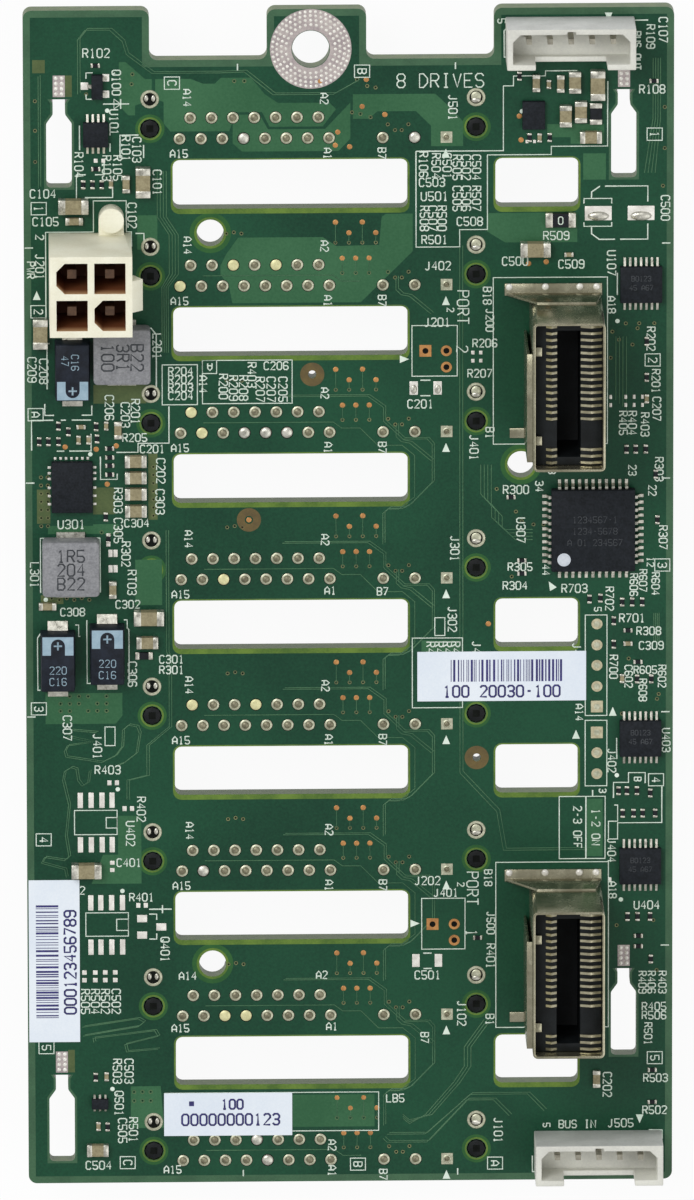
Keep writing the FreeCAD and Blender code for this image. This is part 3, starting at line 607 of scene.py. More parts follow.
def board_edge(inset):
    """Outline of the board drawn in by inset."""
    side, end, notch = 38.7 - inset, 72.2 - inset, 66.1 - inset
    return [(-side, -end), (side, -end), (side, end), (17.3 + inset, end), (17.3 + inset, notch),
            (2.1 - inset, notch), (2.1 - inset, end), (-9.7 + inset, end), (-9.7 + inset, notch),
            (-23.7 - inset, notch), (-23.7 - inset, end), (-side, end)]


def keyhole_outline(x, top, grow):
    """Outline of a keyhole slot, grown all round: a wide body, a neck and a flared lip."""
    body, neck, lip = 1.525 + grow, 0.735 + grow, 1.075 + grow
    shoulder, throat, low = top - 2.95 + grow / 2, top - 1.85 + grow / 2, top - 10.75 - grow
    right = [(body, low), (body, shoulder), (neck, throat), (neck, top - 0.5), (lip, top + 0.02)]
    return [(x + a, b) for a, b in right] + [(x - a, b) for a, b in reversed(right)]


def air_openings():
    """Sides of every vent and window: left, low, right, high."""
    boxes = []
    for number, row in enumerate(ROWS[:-1]):
        for left, right in (VENT, WINDOW) if number in WINDOW_ROWS else (VENT,):
            boxes.append((left, row + OPENING_LOW, right, row + OPENING_HIGH))
    return boxes


def openings_outlines(side, above, below, around):
    """Outlines that clear every opening by the given margins."""
    outlines = [rounded(left - side, low - below, right + side, high + above, 1.0)
                for left, low, right, high in air_openings()]
    outlines += [arc_points(x, y, across / 2 + around) for x, y, across in ROUND_HOLES]
    outlines += [keyhole_outline(x, top, around * 0.6) for x, top in KEYHOLES]
    outlines += [arc_points(x, row + PEG_RISE, 1.175 + around * 0.4, 20) for row in ROWS for x in PEGS_X]
    return outlines


def board_surface():
    """Dark mask over the copper planes, with bands of bare laminate where light comes through."""
    for name, height in (("front_mask", FRONT + MASK_RISE), ("back_mask", BACK - MASK_RISE)):
        sheet = flat_shapes([board_edge(0.85)] + openings_outlines(0.25, 0.2, 0.6, 0.45), height)
        if height < BACK:
            sheet.data.flip_normals()
        finish_piece(sheet, name, "mask_over_plane")
    glow, faint = [], []
    for left, low, right, high in air_openings():
        glow.append(rounded(left - 0.22, low - 0.62, right + 0.22, high + 0.16, 1.0))
        glow.append(rounded(left, low, right, high, 0.8))
    rims = [(x, y, across / 2, 0.3, 0.85) for x, y, across in ROUND_HOLES[:3]]
    rims += [(x, row + PEG_RISE, 1.2, 0.2, 0.55) for row in ROWS for x in PEGS_X]
    for x, y, radius, bright, dim in rims:
        glow += [arc_points(x, y, radius + bright), arc_points(x, y, radius)]
        faint += [arc_points(x, y, radius + dim), arc_points(x, y, radius + bright)]
    finish_piece(flat_shapes(glow, FRONT + GLOW_RISE), "edge_glow", "light_through_edge")
    finish_piece(flat_shapes(faint, FRONT + FAINT_RISE), "faint_glow", "light_under_mask")


# ---- copper under the mask ----
POURS = [
    [(-27.3, 65.9), (-26.5, 65.9), (-24.2, 63.8), (-23.4, 63.8), (-23.4, 61.2), (-25.4, 60.6),
     (-25.4, 59.4), (-26.2, 59.4), (-27.3, 60.6)],
    [(-23.0, 63.8), (-18.8, 63.8), (-17.3, 63.2), (-15.9, 63.2), (-15.2, 63.9), (-11.6, 63.9),
     (-10.0, 61.9), (-8.4, 60.8), (-2.3, 60.8), (-1.5, 60.0), (-3.1, 57.9), (-9.4, 57.9), (-10.3, 59.7),
     (-13.4, 59.7), (-14.2, 57.4), (-21.2, 57.4), (-22.0, 58.4), (-22.0, 61.0), (-23.0, 61.4)],
    [(-13.4, 59.4), (-10.6, 59.4), (-9.6, 57.6), (-2.8, 57.6), (0.2, 60.8), (0.2, 56.4), (-1.2, 54.9),
     (-12.7, 54.9), (-13.8, 55.9), (-13.8, 58.4)],
    [(0.5, 61.8), (10.3, 61.8), (12.2, 60.0), (13.6, 58.4), (13.6, 55.4), (9.8, 55.4), (9.8, 57.9),
     (8.0, 59.7), (3.4, 59.7), (2.4, 58.8), (0.5, 58.8)],
    [(-15.3, 41.0), (-14.6, 42.4), (-13.2, 44.4), (-3.1, 44.4), (-1.5, 43.3), (3.6, 43.4), (3.9, 46.8),
     (4.4, 47.2), (7.6, 47.2), (7.6, 42.6), (1.4, 36.4), (-13.9, 36.4), (-14.3, 38.5), (-15.3, 39.9)],
    [(16.4, 47.2), (27.2, 47.2), (27.2, 43.6), (18.6, 43.6), (16.4, 45.0)],
    rectangle(27.9, 51.2, 30.6, 54.4),
    [(23.6, 58.0), (30.4, 58.0), (30.4, 55.6), (26.4, 55.6), (26.4, 56.4), (23.6, 56.4)],
    [(-30.6, 9.4), (-27.6, 9.4), (-27.6, 8.2), (-36.0, 8.2), (-36.0, 9.2), (-30.6, 9.2)],
    [(-36.4, -11.4), (-27.2, -11.4), (-27.2, -14.2), (-28.0, -15.2), (-36.4, -15.2)],
    rectangle(-25.6, -0.6, -22.4, 5.0),
    [(-27.8, -26.6), (-25.0, -26.6), (-25.0, -35.0), (-31.0, -35.0), (-29.6, -31.4), (-27.8, -31.4)],
    [(-26.4, -60.2), (-22.8, -60.2), (-22.4, -65.4), (-26.4, -65.4)],
    rectangle(-25.2, 43.0, -22.8, 47.2), rectangle(-14.0, -65.4, 2.9, -61.4),
    rectangle(28.4, -32.0, 30.3, -24.9), rectangle(8.6, -6.8, 13.2, -5.2),
]
FILLS = [
    rectangle(-37.3, 9.5, -35.7, 13.7), rectangle(-30.6, 10.6, -28.0, 13.9),
    rectangle(-24.0, 9.9, -22.9, 18.0), rectangle(-30.5, 24.2, -24.2, 26.5),
    rectangle(-36.9, -0.4, -34.2, 0.7), rectangle(-37.6, 64.6, -36.1, 66.2),
    rectangle(-33.7, 61.7, -32.9, 64.3), rectangle(-33.9, -58.4, -33.1, -55.6),
]


def copper_pours():
    """Areas where the outer copper lies right under the mask."""
    for name, outlines, material in (("front_pours", POURS, "mask_over_pour"),
                                     ("front_fills", FILLS, "mask_over_fill")):
        sheets = [flat_shapes([outline], FRONT + POUR_RISE + SHEET_STEP * n)
                  for n, outline in enumerate(outlines)]
        finish_piece(join(sheets), name, material)


def doubled(line, gap):
    """The line and a copy beside it."""
    return [line, [(x + gap, y + gap * 0.7) for x, y in line]]


def copper_traces():
    """Thin tracks that show as paler lines through the mask."""
    lines = []
    for number, row in enumerate(ROWS):
        if number:
            lines.append([(-17.4, row + 1.25), (-1.9, row + 1.25), (-0.9, row + 0.5), (1.3, row + 0.5)])
        if 0 < number < 7:
            lines += doubled([(5.6, row + 0.9), (5.6, row - 0.6), (6.2, row - 1.2), (7.2, row - 1.4),
                              (9.8, row - 3.6)], 0.3)
        if 1 < number < 7:
            lines.append([(1.3, row + 0.5), (3.4, row - 1.65), (6.3, row - 1.65), (7.8, row - 2.9),
                          (7.8, row - 8.0), (5.9, row - 9.5), (4.6, row - 9.5)])
            lines += doubled([(-8.0, row + 4.4), (2.2, row + 4.4), (4.1, row + 3.0), (4.1, row + 1.3),
                              (6.4, row - 0.9), (9.3, row - 0.9), (9.9, row - 1.6), (9.9, row - 6.2),
                              (7.2, row - 9.0), (6.4, row - 9.4), (4.7, row - 9.4), (4.0, row - 10.0),
                              (4.0, row - 13.8)], 0.26)
    for shift in (0.0, 0.36, 0.72, 1.08):
        lines.append([(-22.8 + shift, 52.6), (-22.8 + shift, 47.0), (-21.4 + shift, 44.8),
                      (-21.4 + shift, 40.0), (-22.3 + shift * 0.7, 38.4), (-22.3 + shift * 0.7, 30.4)])
    for x in (-21.9, -21.6):
        lines.append([(x, 8.6), (x, -6.4), (x + 0.3, -7.0), (x + 0.3, -15.6), (x - 2.4, -17.9),
                      (x - 2.4, -21.6), (x - 4.8, -22.2), (x - 4.8, -24.6)])
    lines += doubled([(-32.2, 62.0), (-32.2, 68.6), (-31.3, 69.8), (-28.4, 69.8), (-26.9, 68.4),
                      (-26.4, 66.8), (-23.4, 64.5), (-15.4, 64.5), (-12.4, 64.6), (-9.0, 61.8),
                      (-1.8, 61.8), (1.0, 63.4)], 0.3)
    lines += doubled([(-36.9, 64.2), (-36.9, 50.6)], 0.26)
    lines += doubled([(-30.3, -16.3), (-33.4, -16.0), (-33.8, -16.8), (-30.8, -17.5), (-33.8, -17.9),
                      (-34.2, -18.6), (-34.0, -19.3), (-29.7, -20.0), (-28.1, -19.2), (-27.3, -18.1),
                      (-27.2, -16.0), (-26.5, -15.4), (-25.5, -15.6), (-25.2, -16.4), (-25.6, -18.9),
                      (-27.1, -20.1), (-28.1, -20.5)], 0.24)
    lines += doubled([(-31.2, -21.0), (-31.4, -22.5), (-32.1, -22.9), (-32.6, -22.2), (-32.8, -20.8),
                      (-33.4, -20.6), (-34.2, -21.1), (-34.4, -22.2), (-33.7, -25.2), (-34.1, -29.1),
                      (-33.7, -31.6), (-34.2, -32.1), (-36.6, -31.7), (-37.0, -32.4), (-34.2, -33.2),
                      (-34.0, -34.2)], 0.24)
    lines += doubled([(-32.2, -52.8), (-25.5, -51.8), (-24.8, -52.2), (-25.5, -52.8), (-32.1, -53.9)], 0.24)
    lines += doubled([(-30.8, -54.7), (-30.9, -54.2), (-23.5, -53.3), (-23.1, -54.0), (-27.1, -55.0),
                      (-26.9, -55.9), (-23.1, -55.6)], 0.24)
    lines += doubled([(13.2, 43.0), (13.2, -21.6), (17.6, -26.4), (18.4, -31.2), (28.6, -31.2)], 0.36)
    for shift in (0.0, 0.42, 0.84, 1.26):
        lines.append([(15.7 + shift, 16.4), (15.7 + shift, 12.8 - shift), (17.0 + shift, 11.3 - shift),
                      (17.0 + shift, 9.9 - shift), (18.6 + shift, 8.4 - shift), (21.9, 8.4 - shift)])
        lines.append([(31.8 + shift, 32.0), (31.8 + shift, 24.2 - shift)])
        lines.append([(36.2 + shift * 0.7, 66.0), (36.2 + shift * 0.7, 58.6), (35.2 + shift, 52.0)])
        lines.append([(36.4 + shift * 0.5, -2.0), (36.4 + shift * 0.5, -5.6)])
    for shift in (0.0, 0.4, 0.8):
        lines.append([(16.1 + shift, -52.2), (13.7 + shift, -55.6), (13.7 + shift, -58.0),
                      (12.4 + shift, -60.0), (9.0 + shift, -64.0), (7.1, -65.1 + shift * 0.6),
                      (6.3, -64.4 + shift * 0.6)])
    lines += doubled([(3.9, -66.9), (4.4, -67.4), (9.2, -67.4), (14.0, -62.2), (17.2, -62.2),
                      (19.1, -64.2)], 0.3)
    lines += doubled([(4.4, -66.4), (9.0, -66.4), (14.4, -61.5), (21.3, -61.5), (23.3, -63.6)], 0.3)
    width = bpy.context.scene.backplane_sizes.trace_width / MM
    finish_piece(ribbons(lines, width, FRONT + TRACE_RISE, 0.012), "front_traces", "mask_over_trace")


def via_places():
    """Small plated holes, as x, y."""
    places = []
    for number, row in enumerate(ROWS):
        places += [(4.65, row + 1.6), (5.5, row + 0.9), (6.3, row + 0.9), (7.1, row + 1.6)]
        if number:
            places += [(x, row + 5.2) for x in (-1.6, 0.0, 1.6, 3.2)]
            places += [(x, row + 1.5) for x in (-0.8, 0.8, 2.4)]
            places += [(-14.6 + n * 0.9, row + 6.4 + 0.15 * (n % 2)) for n in range(3)]
    places += [(-37.3, 61.2), (-37.3, 57.6), (-37.3, 53.8), (-31.2, 62.0), (-30.3, 62.0), (-29.2, 62.0),
               (-25.8, 63.2), (-25.7, 64.4), (-13.6, 63.5), (-12.4, 63.5), (1.0, 63.6),
               (2.2, 62.8), (3.2, 62.6), (0.4, 59.6), (1.4, 59.4), (2.6, 59.0)]
    for x in (-36.8, -36.0):
        places += [(x, 15.2 - 1.0 * n) for n in range(7)]
    places += [(-29.6 + 0.9 * n, 8.4 - 0.3 * (n % 2)) for n in range(3)]
    places += [(-34.6 + 1.1 * n, -11.8 - 0.9 * k) for n in range(6) for k in range(3) if (n + k) % 4]
    places += [(-23.4, 16.4 - 1.0 * n) for n in range(7)]
    places += [(-35.6 + 0.9 * n, 0.3 - 0.2 * (n % 2)) for n in range(6)]
    places += [(31.4, 32.6), (32.2, 31.6), (31.2, 29.4), (33.8, 31.0), (34.4, 33.0), (19.9, 10.6),
               (20.6, 9.4), (22.0, 9.0), (23.2, 9.0), (17.6, 13.4), (19.4, 2.6), (36.8, -12.6),
               (33.4, -7.6), (32.6, -14.4), (37.0, -12.0), (32.0, -40.6), (36.4, -40.0), (36.8, -46.2),
               (37.6, 60.0), (37.6, 55.0), (37.4, 50.4), (33.0, 33.6), (34.6, 33.6), (36.4, 33.6)]
    places += [(-26.0 + 1.0 * n, -60.9 - 1.1 * k) for n in range(3) for k in range(2)]
    return places


# copper test dots of each row: x, y from the row, and where the stem of the dot ends
TEST_DOTS = [(-1.6, 7.7, 5.2), (1.6, 7.7, 5.2), (0.0, 6.4, 5.2), (3.2, 6.4, 5.2), (-0.8, 3.3, 1.5),
             (0.8, 3.3, 1.5), (2.4, 3.3, 1.5)]
LONE_DOTS = [(-3.4, 63.4), (2.1, 63.6), (1.6, 60.3), (4.3, 59.3), (-1.3, 57.2), (-1.6, 55.6), (0.1, 55.4),
             (20.3, 59.0), (20.5, 56.1), (21.4, 41.0), (23.5, 41.2), (-33.9, 18.9), (-30.2, 18.6),
             (-27.8, 19.0), (-28.9, 14.3), (-12.0, 9.8), (16.6, -3.2)]


def vias_and_dots():
    """Small plated holes, copper test dots and the thin stems below the dots."""
    places = [(x, y, FRONT, 0, 1.0) for x, y in via_places()]
    finish_piece(stamp(stepped_disc(0, 0, 0.03, 0.24, 10, [(0.11, -0.02)]), places), "via_rings",
                 "via_rim")
    # the dark middles of the vias are painted shade inside the holes
    finish_piece(stamp(dished_disc(0, 0, 0.036, 0.1, 8), places), "via_holes", "painted_dark_shade")
    dots = [(x, y, FRONT, 0, 1.0) for x, y in LONE_DOTS]
    stems = []
    for row in ROWS[1:]:
        for x, up, end in TEST_DOTS:
            dots.append((x, row + up, FRONT, 0, 1.0))
            stems.append([(x, row + up), (x, row + end)])
    finish_piece(stamp(solder_dome(0.34, 0.05, 12), dots), "test_dots", "bare_copper")
    finish_piece(ribbons(stems, 0.09, FRONT + TIN_RISE, 0.01), "test_stems", "mask_over_trace")
    halos = [arc_points(x, y, radius, sides) for radius, sides in ((1.45, 30), (0.5, 16))
             for x, y in FIDUCIALS]
    finish_piece(flat_shapes(halos, FRONT + HALO_RISE), "fiducial_halos", "stained_laminate")


# ---- print ----
# names on the board, by letter height and turn: text, x, y
WORDS = {
    (1.65, 0): [("8 DRIVES", 10.9, 63.4)],
    (1.0, DOWN): [
        ("R401", 9.7, -6.9), ("R402", 10.7, -6.9), ("R408", 11.7, -6.9), ("R409", 12.7, -6.9),
        ("J403", 15.2, -6.9), ("J405", 27.2, -7.2), ("Q100", -27.6, 63.4), ("U101", -27.9, 58.6),
        ("R104", -32.1, 53.4), ("R103", -28.8, 53.0), ("R105", -27.5, 53.0), ("R101", -26.5, 55.4),
        ("C103", -25.2, 55.2), ("C101", -22.8, 51.2), ("C102", -25.8, 47.2), ("J201", -36.8, 41.0),
        ("C209", -37.8, 28.4), ("C208", -36.4, 28.2), ("L201", -22.9, 31.2), ("R200", -15.0, 26.2),
        ("R209", -13.8, 26.0), ("R208", -12.6, 26.0), ("R403", -11.6, 27.6), ("R207", -10.6, 25.8),
        ("C207", -9.3, 25.8), ("C205", -7.9, 25.8), ("C206", -28.6, 23.7), ("C203", -26.7, 22.8),
        ("R201", -25.5, 23.2), ("C202", -22.5, 15.9), ("C303", -22.6, 12.1), ("R303", -27.6, 12.3),
        ("C305", -27.6, 8.6), ("R302", -26.7, 5.7), ("L301", -37.6, 3.2), ("RT03", -26.0, 2.2),
        ("C306", -26.0, -9.1), ("C307", -33.8, -15.7), ("J401", -30.2, -18.0), ("R402", -25.0, -25.8),
        ("U402", -26.3, -28.8), ("Q401", -22.2, -43.2), ("R505", -31.8, -49.6), ("R504", -30.6, -49.6),
        ("R502", -29.4, -49.6), ("C502", -28.1, -49.6), ("R503", -28.0, -58.3), ("C503", -26.6, -58.3),
        ("Q501", -27.8, -62.3), ("R501", -26.1, -65.6), ("C505", -27.4, -65.7), ("J501", 12.4, 60.1),
        ("J301", 12.6, 6.1), ("J401", 14.9, 18.5), ("J302", 12.3, -2.6), ("J102", 13.4, -51.4),
        ("J101", 17.8, -66.0), ("R106", 8.9, 53.2), ("R504", 10.4, 53.0), ("C501", 11.7, 53.0),
        ("R505", 12.9, 52.8), ("C502", 14.0, 52.8), ("C504", 15.2, 52.8), ("R507", 15.2, 49.0),
        ("C506", 14.0, 49.0), ("C505", 12.9, 49.0), ("R508", 9.0, 46.6), ("C507", 10.0, 46.6),
        ("R500", 11.1, 46.6), ("C107", 37.4, 69.4), ("C500", 37.7, 47.7), ("U107", 31.3, 41.0),
        ("U307", 20.5, 8.3), ("R401", 16.9, -44.3), ("C202", 30.9, -60.4)],
    (1.05, 0): [("R102", -30.0, 67.0), ("U301", -33.2, 9.4), ("U501", 10.2, 49.3)],
    (1.0, 0): [
        ("C104", -36.4, 49.9), ("C105", -36.1, 46.5), ("R403", -29.0, -20.9), ("C504", -30.3, -70.0),
        ("J402", 10.6, 40.8), ("J201", 10.5, 33.9), ("C201", 8.5, 23.9), ("J202", 9.3, -34.9),
        ("C501", 9.3, -46.6), ("C503", 9.9, 51.0), ("R501", 10.2, 44.0), ("C508", 14.4, 46.2),
        ("R108", 36.1, 62.2), ("R509", 24.7, 44.4), ("C500", 19.8, 41.3), ("C509", 26.5, 40.9),
        ("R300", 19.9, 13.3), ("R703", 26.9, 1.1), ("R701", 33.8, -2.6), ("U404", 35.6, -38.1),
        ("J505", 32.5, -65.2)],
    (0.95, DOWN): [
        ("2", -36.8, 44.6), ("R109", 35.9, 68.6), ("B18", 16.5, 37.1), ("B1", 16.8, 20.3),
        ("R405", 32.7, 21.4), ("R404", 33.8, 21.4), ("R403", 35.3, 21.2), ("R201", 36.6, 26.5),
        ("C207", 36.7, 23.1), ("R202", 36.0, 31.7), ("R303", 37.0, 15.7), ("R307", 37.5, 7.3),
        ("R702", 31.1, -0.2), ("R700", 31.6, -8.6), ("U403", 37.9, -17.7), ("J402", 31.4, -20.2),
        ("1-2 ON", 29.5, -28.4), ("2-3 OFF", 27.3, -28.4), ("J404", 31.4, -31.3), ("B1", 16.8, -52.2)],
    (0.9, DOWN): [
        ("PWR", -37.9, 40.6), ("5", 18.2, 70.6), ("A18", 31.3, 35.9), ("J200", 16.8, 34.1),
        ("34", 22.7, 13.7), ("23", 33.8, 15.6), ("22", 36.2, 13.1), ("44", 23.5, 3.4), ("R606", 34.0, 1.5),
        ("R607", 35.1, 2.0), ("R604", 36.6, 1.6), ("C602", 33.4, -9.8), ("R608", 35.1, -11.5),
        ("R602", 37.4, -9.8), ("A14", 27.5, -14.2), ("A18", 31.5, -36.2), ("B18", 16.6, -34.6),
        ("J500", 16.9, -40.2), ("R409", 35.1, -47.7), ("R406", 36.2, -47.7), ("R403", 37.5, -47.7),
        ("R501", 35.8, -54.1)],
    (0.95, 0): [
        ("R204", -20.1, 28.1), ("R202", -20.1, 27.1), ("R203", -20.1, 26.1), ("C204", -20.1, 25.1),
        ("C206", -8.7, 28.7), ("R205", -25.6, 20.0), ("C201", -23.5, 18.6), ("C304", -25.4, 9.5),
        ("C302", -26.5, -0.5), ("C308", -33.1, -1.4), ("C301", -21.3, -7.3), ("R301", -21.3, -8.6),
        ("C401", -26.5, -32.4), ("2", -32.1, -35.8), ("R401", -25.0, -36.7), ("LB5", 5.4, -61.9),
        ("J401", 11.5, -36.4), ("R206", 16.2, 31.3), ("R207", 15.6, 27.6), ("R305", 20.4, 3.8),
        ("R304", 19.8, 1.5), ("R308", 35.8, -4.2), ("C309", 36.1, -6.0), ("R405", 36.5, -50.7),
        ("R506", 36.5, -51.8), ("R503", 36.7, -59.6), ("R502", 36.6, -63.6), ("BUS IN", 27.3, -65.3)],
    (0.9, 180): [("A", -16.6, 28.6)],
    (0.8, DOWN): [
        ("2", 12.1, 35.4), ("2", 13.3, -35.4), ("33", 24.2, 15.8), ("12", 36.0, 4.3), ("5", 29.7, -1.5),
        ("3", 30.3, -23.9), ("B", 34.5, -22.5), ("5", 23.6, -65.4)],
    (0.85, DOWN): [("BUS OUT", 34.3, 66.9)],
    (1.35, DOWN): [("PORT", 13.6, 35.7), ("PORT", 14.7, -35.9)],
    (1.3, DOWN): [("2", 13.5, 30.6), ("1", 14.6, -41.4)],
    (0.9, 0): [("R605", 35.4, -9.0)],
}
GRID_MARKS = [("C", -21.0, 63.3), ("B", 1.6, 64.6), ("1", 36.4, 56.7), ("1", -36.9, 48.1),
              ("2", -37.0, 35.5), ("2", 36.2, 29.1), ("A", -37.4, 22.9), ("3", -37.2, -13.3),
              ("3", 37.4, 3.9), ("4", -36.7, -29.5), ("4", 36.7, -22.6), ("5", -36.5, -55.3),
              ("5", 36.6, -57.1), ("C", -26.8, -69.7), ("B", 0.9, -70.1), ("A", 17.4, -70.1)]
EDGE_TICKS = [(-38.6, 43.3, 1, 0), (37.3, 43.4, 1, 0), (-38.6, 14.5, 1, 0), (37.3, 14.6, 1, 0),
              (-38.6, -14.3, 1, 0), (37.3, -14.2, 1, 0), (37.3, -43.1, 1, 0), (-13.2, 64.8, 0, 0.8),
              (12.7, 64.8, 0, 0.8), (-12.9, -71.5, 0, 0.8), (12.9, -71.5, 0, 0.8)]
LINES = [
    [(8.0, 54.8), (18.4, 54.8), (18.4, 62.7), (19.6, 62.7), (19.6, 63.9), (23.4, 63.9), (23.4, 64.5),
     (27.2, 64.5)],
    [(30.8, 63.2), (30.8, 55.3), (24.1, 55.3), (24.1, 54.3), (16.5, 54.3), (16.5, 45.2), (13.2, 45.2),
     (13.2, 43.1), (8.0, 43.1), (8.0, 54.8)],
    [(-36.1, 34.8), (-36.1, 45.2), (-30.4, 45.2), (-30.4, 49.0), (-26.5, 49.0), (-26.5, 45.2),
     (-25.9, 45.2), (-25.9, 43.4)],
    [(-31.3, 52.2), (-32.4, 52.2), (-32.4, 49.2), (-33.4, 49.2)],
    [(-30.2, 52.2), (-29.1, 52.2), (-29.1, 54.0)], [(-31.4, 49.4), (-28.1, 49.4), (-28.1, 50.7)],
    [(-32.0, 58.2), (-32.0, 55.2)], [(-28.4, 58.0), (-28.4, 57.0)], [(-28.4, 56.0), (-28.4, 55.0)],
    [(-30.4, 64.6), (-31.2, 64.6), (-31.2, 63.9)], [(-31.2, 62.0), (-31.2, 61.4), (-30.4, 61.4)],
    [(-27.2, 54.2), (-27.2, 57.0), (-25.0, 57.0)], [(-24.4, 55.8), (-24.4, 54.2)],
    [(-29.2, 60.8), (-26.1, 60.8)], [(-27.9, 61.4), (-27.9, 60.2), (-27.1, 60.8), (-27.9, 61.4)],
    [(-27.1, 61.4), (-27.1, 60.2)],
    [(-25.4, 45.0), (-24.4, 45.0), (-24.4, 43.8)],
    [(-24.0, 33.4), (-23.6, 33.4), (-23.0, 32.6), (-23.0, 26.2)],
    [(-35.7, 31.6), (-36.0, 31.6), (-36.0, 26.0)], [(-36.3, 24.2), (-36.3, 22.8), (-35.2, 22.8)],
    [(-31.9, 22.8), (-30.7, 22.8), (-30.7, 24.0)],
    [(-37.9, 18.5), (-37.9, 22.2), (-35.3, 22.2)], [(-34.4, 22.2), (-33.8, 22.2)],
    [(-33.1, 22.2), (-30.8, 22.2)], [(-30.8, 20.5), (-30.8, 18.4), (-33.4, 18.4)],
    [(-34.0, 18.4), (-34.9, 18.4)],
    [(-27.8, 18.2), (-25.2, 18.2), (-25.2, 19.3), (-21.5, 19.3), (-21.5, 23.8)],
    [(-29.7, 17.7), (-29.7, 14.9), (-27.7, 14.9), (-27.7, 15.6)],
    [(-36.4, 7.7), (-36.9, 7.7), (-36.9, 1.0)], [(-30.4, 7.7), (-29.8, 7.7), (-29.8, 1.0)],
    [(-36.8, -3.8), (-37.3, -4.6), (-37.3, -11.0), (-37.0, -11.0)],
    [(-32.8, -3.0), (-32.4, -3.0), (-32.4, -4.4), (-32.2, -4.4)],
    [(-31.4, -2.4), (-31.4, -10.2), (-31.0, -10.2)],
    [(-27.0, -2.4), (-26.6, -2.4), (-26.6, -3.4), (-26.4, -3.6), (-26.4, -10.2)],
    [(-32.0, 39.8), (-32.0, 37.1)], [(19.0, 66.2), (18.5, 66.2), (18.5, 69.4), (19.4, 70.4)],
    [(28.0, 48.3), (28.0, 48.9), (31.3, 48.9), (31.3, 48.3)],
    [(28.0, 46.0), (28.0, 45.5), (31.3, 45.5), (31.3, 46.0)],
    [(28.9, 48.9), (28.9, 49.7), (29.9, 50.4)], [(30.5, 50.4), (35.6, 50.4), (35.6, 48.5)],
    [(28.9, 45.4), (28.9, 44.6), (29.8, 43.9), (31.7, 43.9)], [(32.3, 43.9), (35.6, 43.9), (35.6, 45.8)],
    [(32.0, 39.8), (32.0, 37.1)], [(32.0, -17.4), (32.0, -20.0)], [(32.4, -31.7), (32.4, -34.6)],
    [(31.6, -24.8), (31.6, -22.9), (33.4, -22.9), (33.4, -21.7), (35.4, -21.7), (35.4, -23.0)],
    [(37.4, -23.4), (37.4, -27.9), (32.1, -27.9), (32.1, -25.7), (31.7, -25.7)],
    [(28.3, -24.6), (28.3, -32.3)], [(29.1, -24.6), (29.1, -23.8)],
    [(-24.1, -38.8), (-23.2, -38.8), (-23.2, -39.5)], [(-24.1, -41.9), (-23.2, -41.9), (-23.2, -41.2)],
    [(-24.1, -38.2), (-21.4, -38.2)], [(-22.5, -37.7), (-22.5, -38.7)],
    [(35.9, -66.1), (37.5, -66.1), (37.5, -67.2)], [(21.9, -69.2), (21.9, -71.2), (22.4, -71.2)],
    [(8.5, 26.8), (9.7, 26.8)], [(8.5, 24.9), (9.7, 24.9)], [(8.8, -43.9), (9.8, -43.9)],
    [(8.8, -45.8), (9.8, -45.8)], [(33.5, 65.0), (33.9, 65.0), (33.9, 70.6), (35.6, 70.6)],
]
BOXES = [(-22.3, 24.0, -18.1, 28.9), (-17.5, 24.1, -6.8, 29.4), (-17.5, 27.8, -15.8, 29.4),
         (7.5, 27.3, 12.9, 33.5), (8.6, -43.4, 13.8, -37.1), (17.2, 18.9, 30.8, 39.3),
         (17.5, -53.2, 31.0, -32.7), (28.2, -14.6, 30.8, -2.2), (28.2, -23.3, 30.8, -15.2),
         (25.1, -32.3, 30.6, -24.6), (31.0, -29.9, 32.1, -27.7), (-29.3, -17.9, -28.1, -15.6),
         (-33.0, -28.9, -27.9, -25.9), (-29.2, -28.1, -27.9, -26.8), (-31.7, -41.5, -26.6, -38.6),
         (-28.0, -40.8, -26.6, -39.4), (-22.3, -65.9, 3.4, -61.1), (10.2, -4.6, 11.4, -2.4),
         (7.5, -13.5, 13.5, -4.9)]
TRIANGLES = [(-37.2, 37.5, 0), (6.6, 29.4, DOWN), (7.8, -40.2, DOWN), (31.5, -14.1, 0),
             (27.1, -16.9, 0), (34.8, -64.7, 180), (24.1, 1.5, 30), (30.9, 71.0, 180)]
PIN_DOTS = [(-28.7, 60.0), (20.6, 59.6), (-36.3, 0.15), (-27.8, -23.3), (-27.3, -35.9),
            (-28.6, -60.5), (32.0, 33.9), (32.0, -22.0), (32.5, -37.4), (-30.9, 18.0)]


def pointed(x, y, turn):
    """Corners of a filled triangle that points along the turn."""
    tip, side = 0.55, 0.462
    cos, sin = math.cos(math.radians(turn)), math.sin(math.radians(turn))
    return [(x + a * cos - b * sin, y + a * sin + b * cos)
            for a, b in ((0, tip), (-side, -tip), (side, -tip))]


# names beside each row of joints: x, y from the row, turn; some rows differ
ROW_NAMES = {"A15": (-20.2, -1.8, 0), "A14": (-19.2, 5.0, DOWN), "A2": (-2.9, 4.8, DOWN),
             "A1": (-2.5, -1.9, DOWN), "B7": (3.95, -1.9, DOWN)}
ROW_CHANGES = {
    2: {"A14": (-17.4, 6.0, DOWN)},
    3: {"A1": (-2.3, -1.45, 0), "B7": (3.95, -1.6, 0)},
    5: {"A2": (-2.5, 5.0, DOWN)},
    6: {"A15": (-20.4, -1.5, 0), "A14": (-19.5, 5.0, 0), "A2": (-3.4, 5.0, 0), "A1": (-2.2, -1.4, 0),
        "B7": (8.95, -2.9, DOWN)},
    7: {"A15": (-21.4, -1.1, 0), "A2": (-2.2, 1.8, DOWN), "A1": (-2.2, -1.4, DOWN)},
}


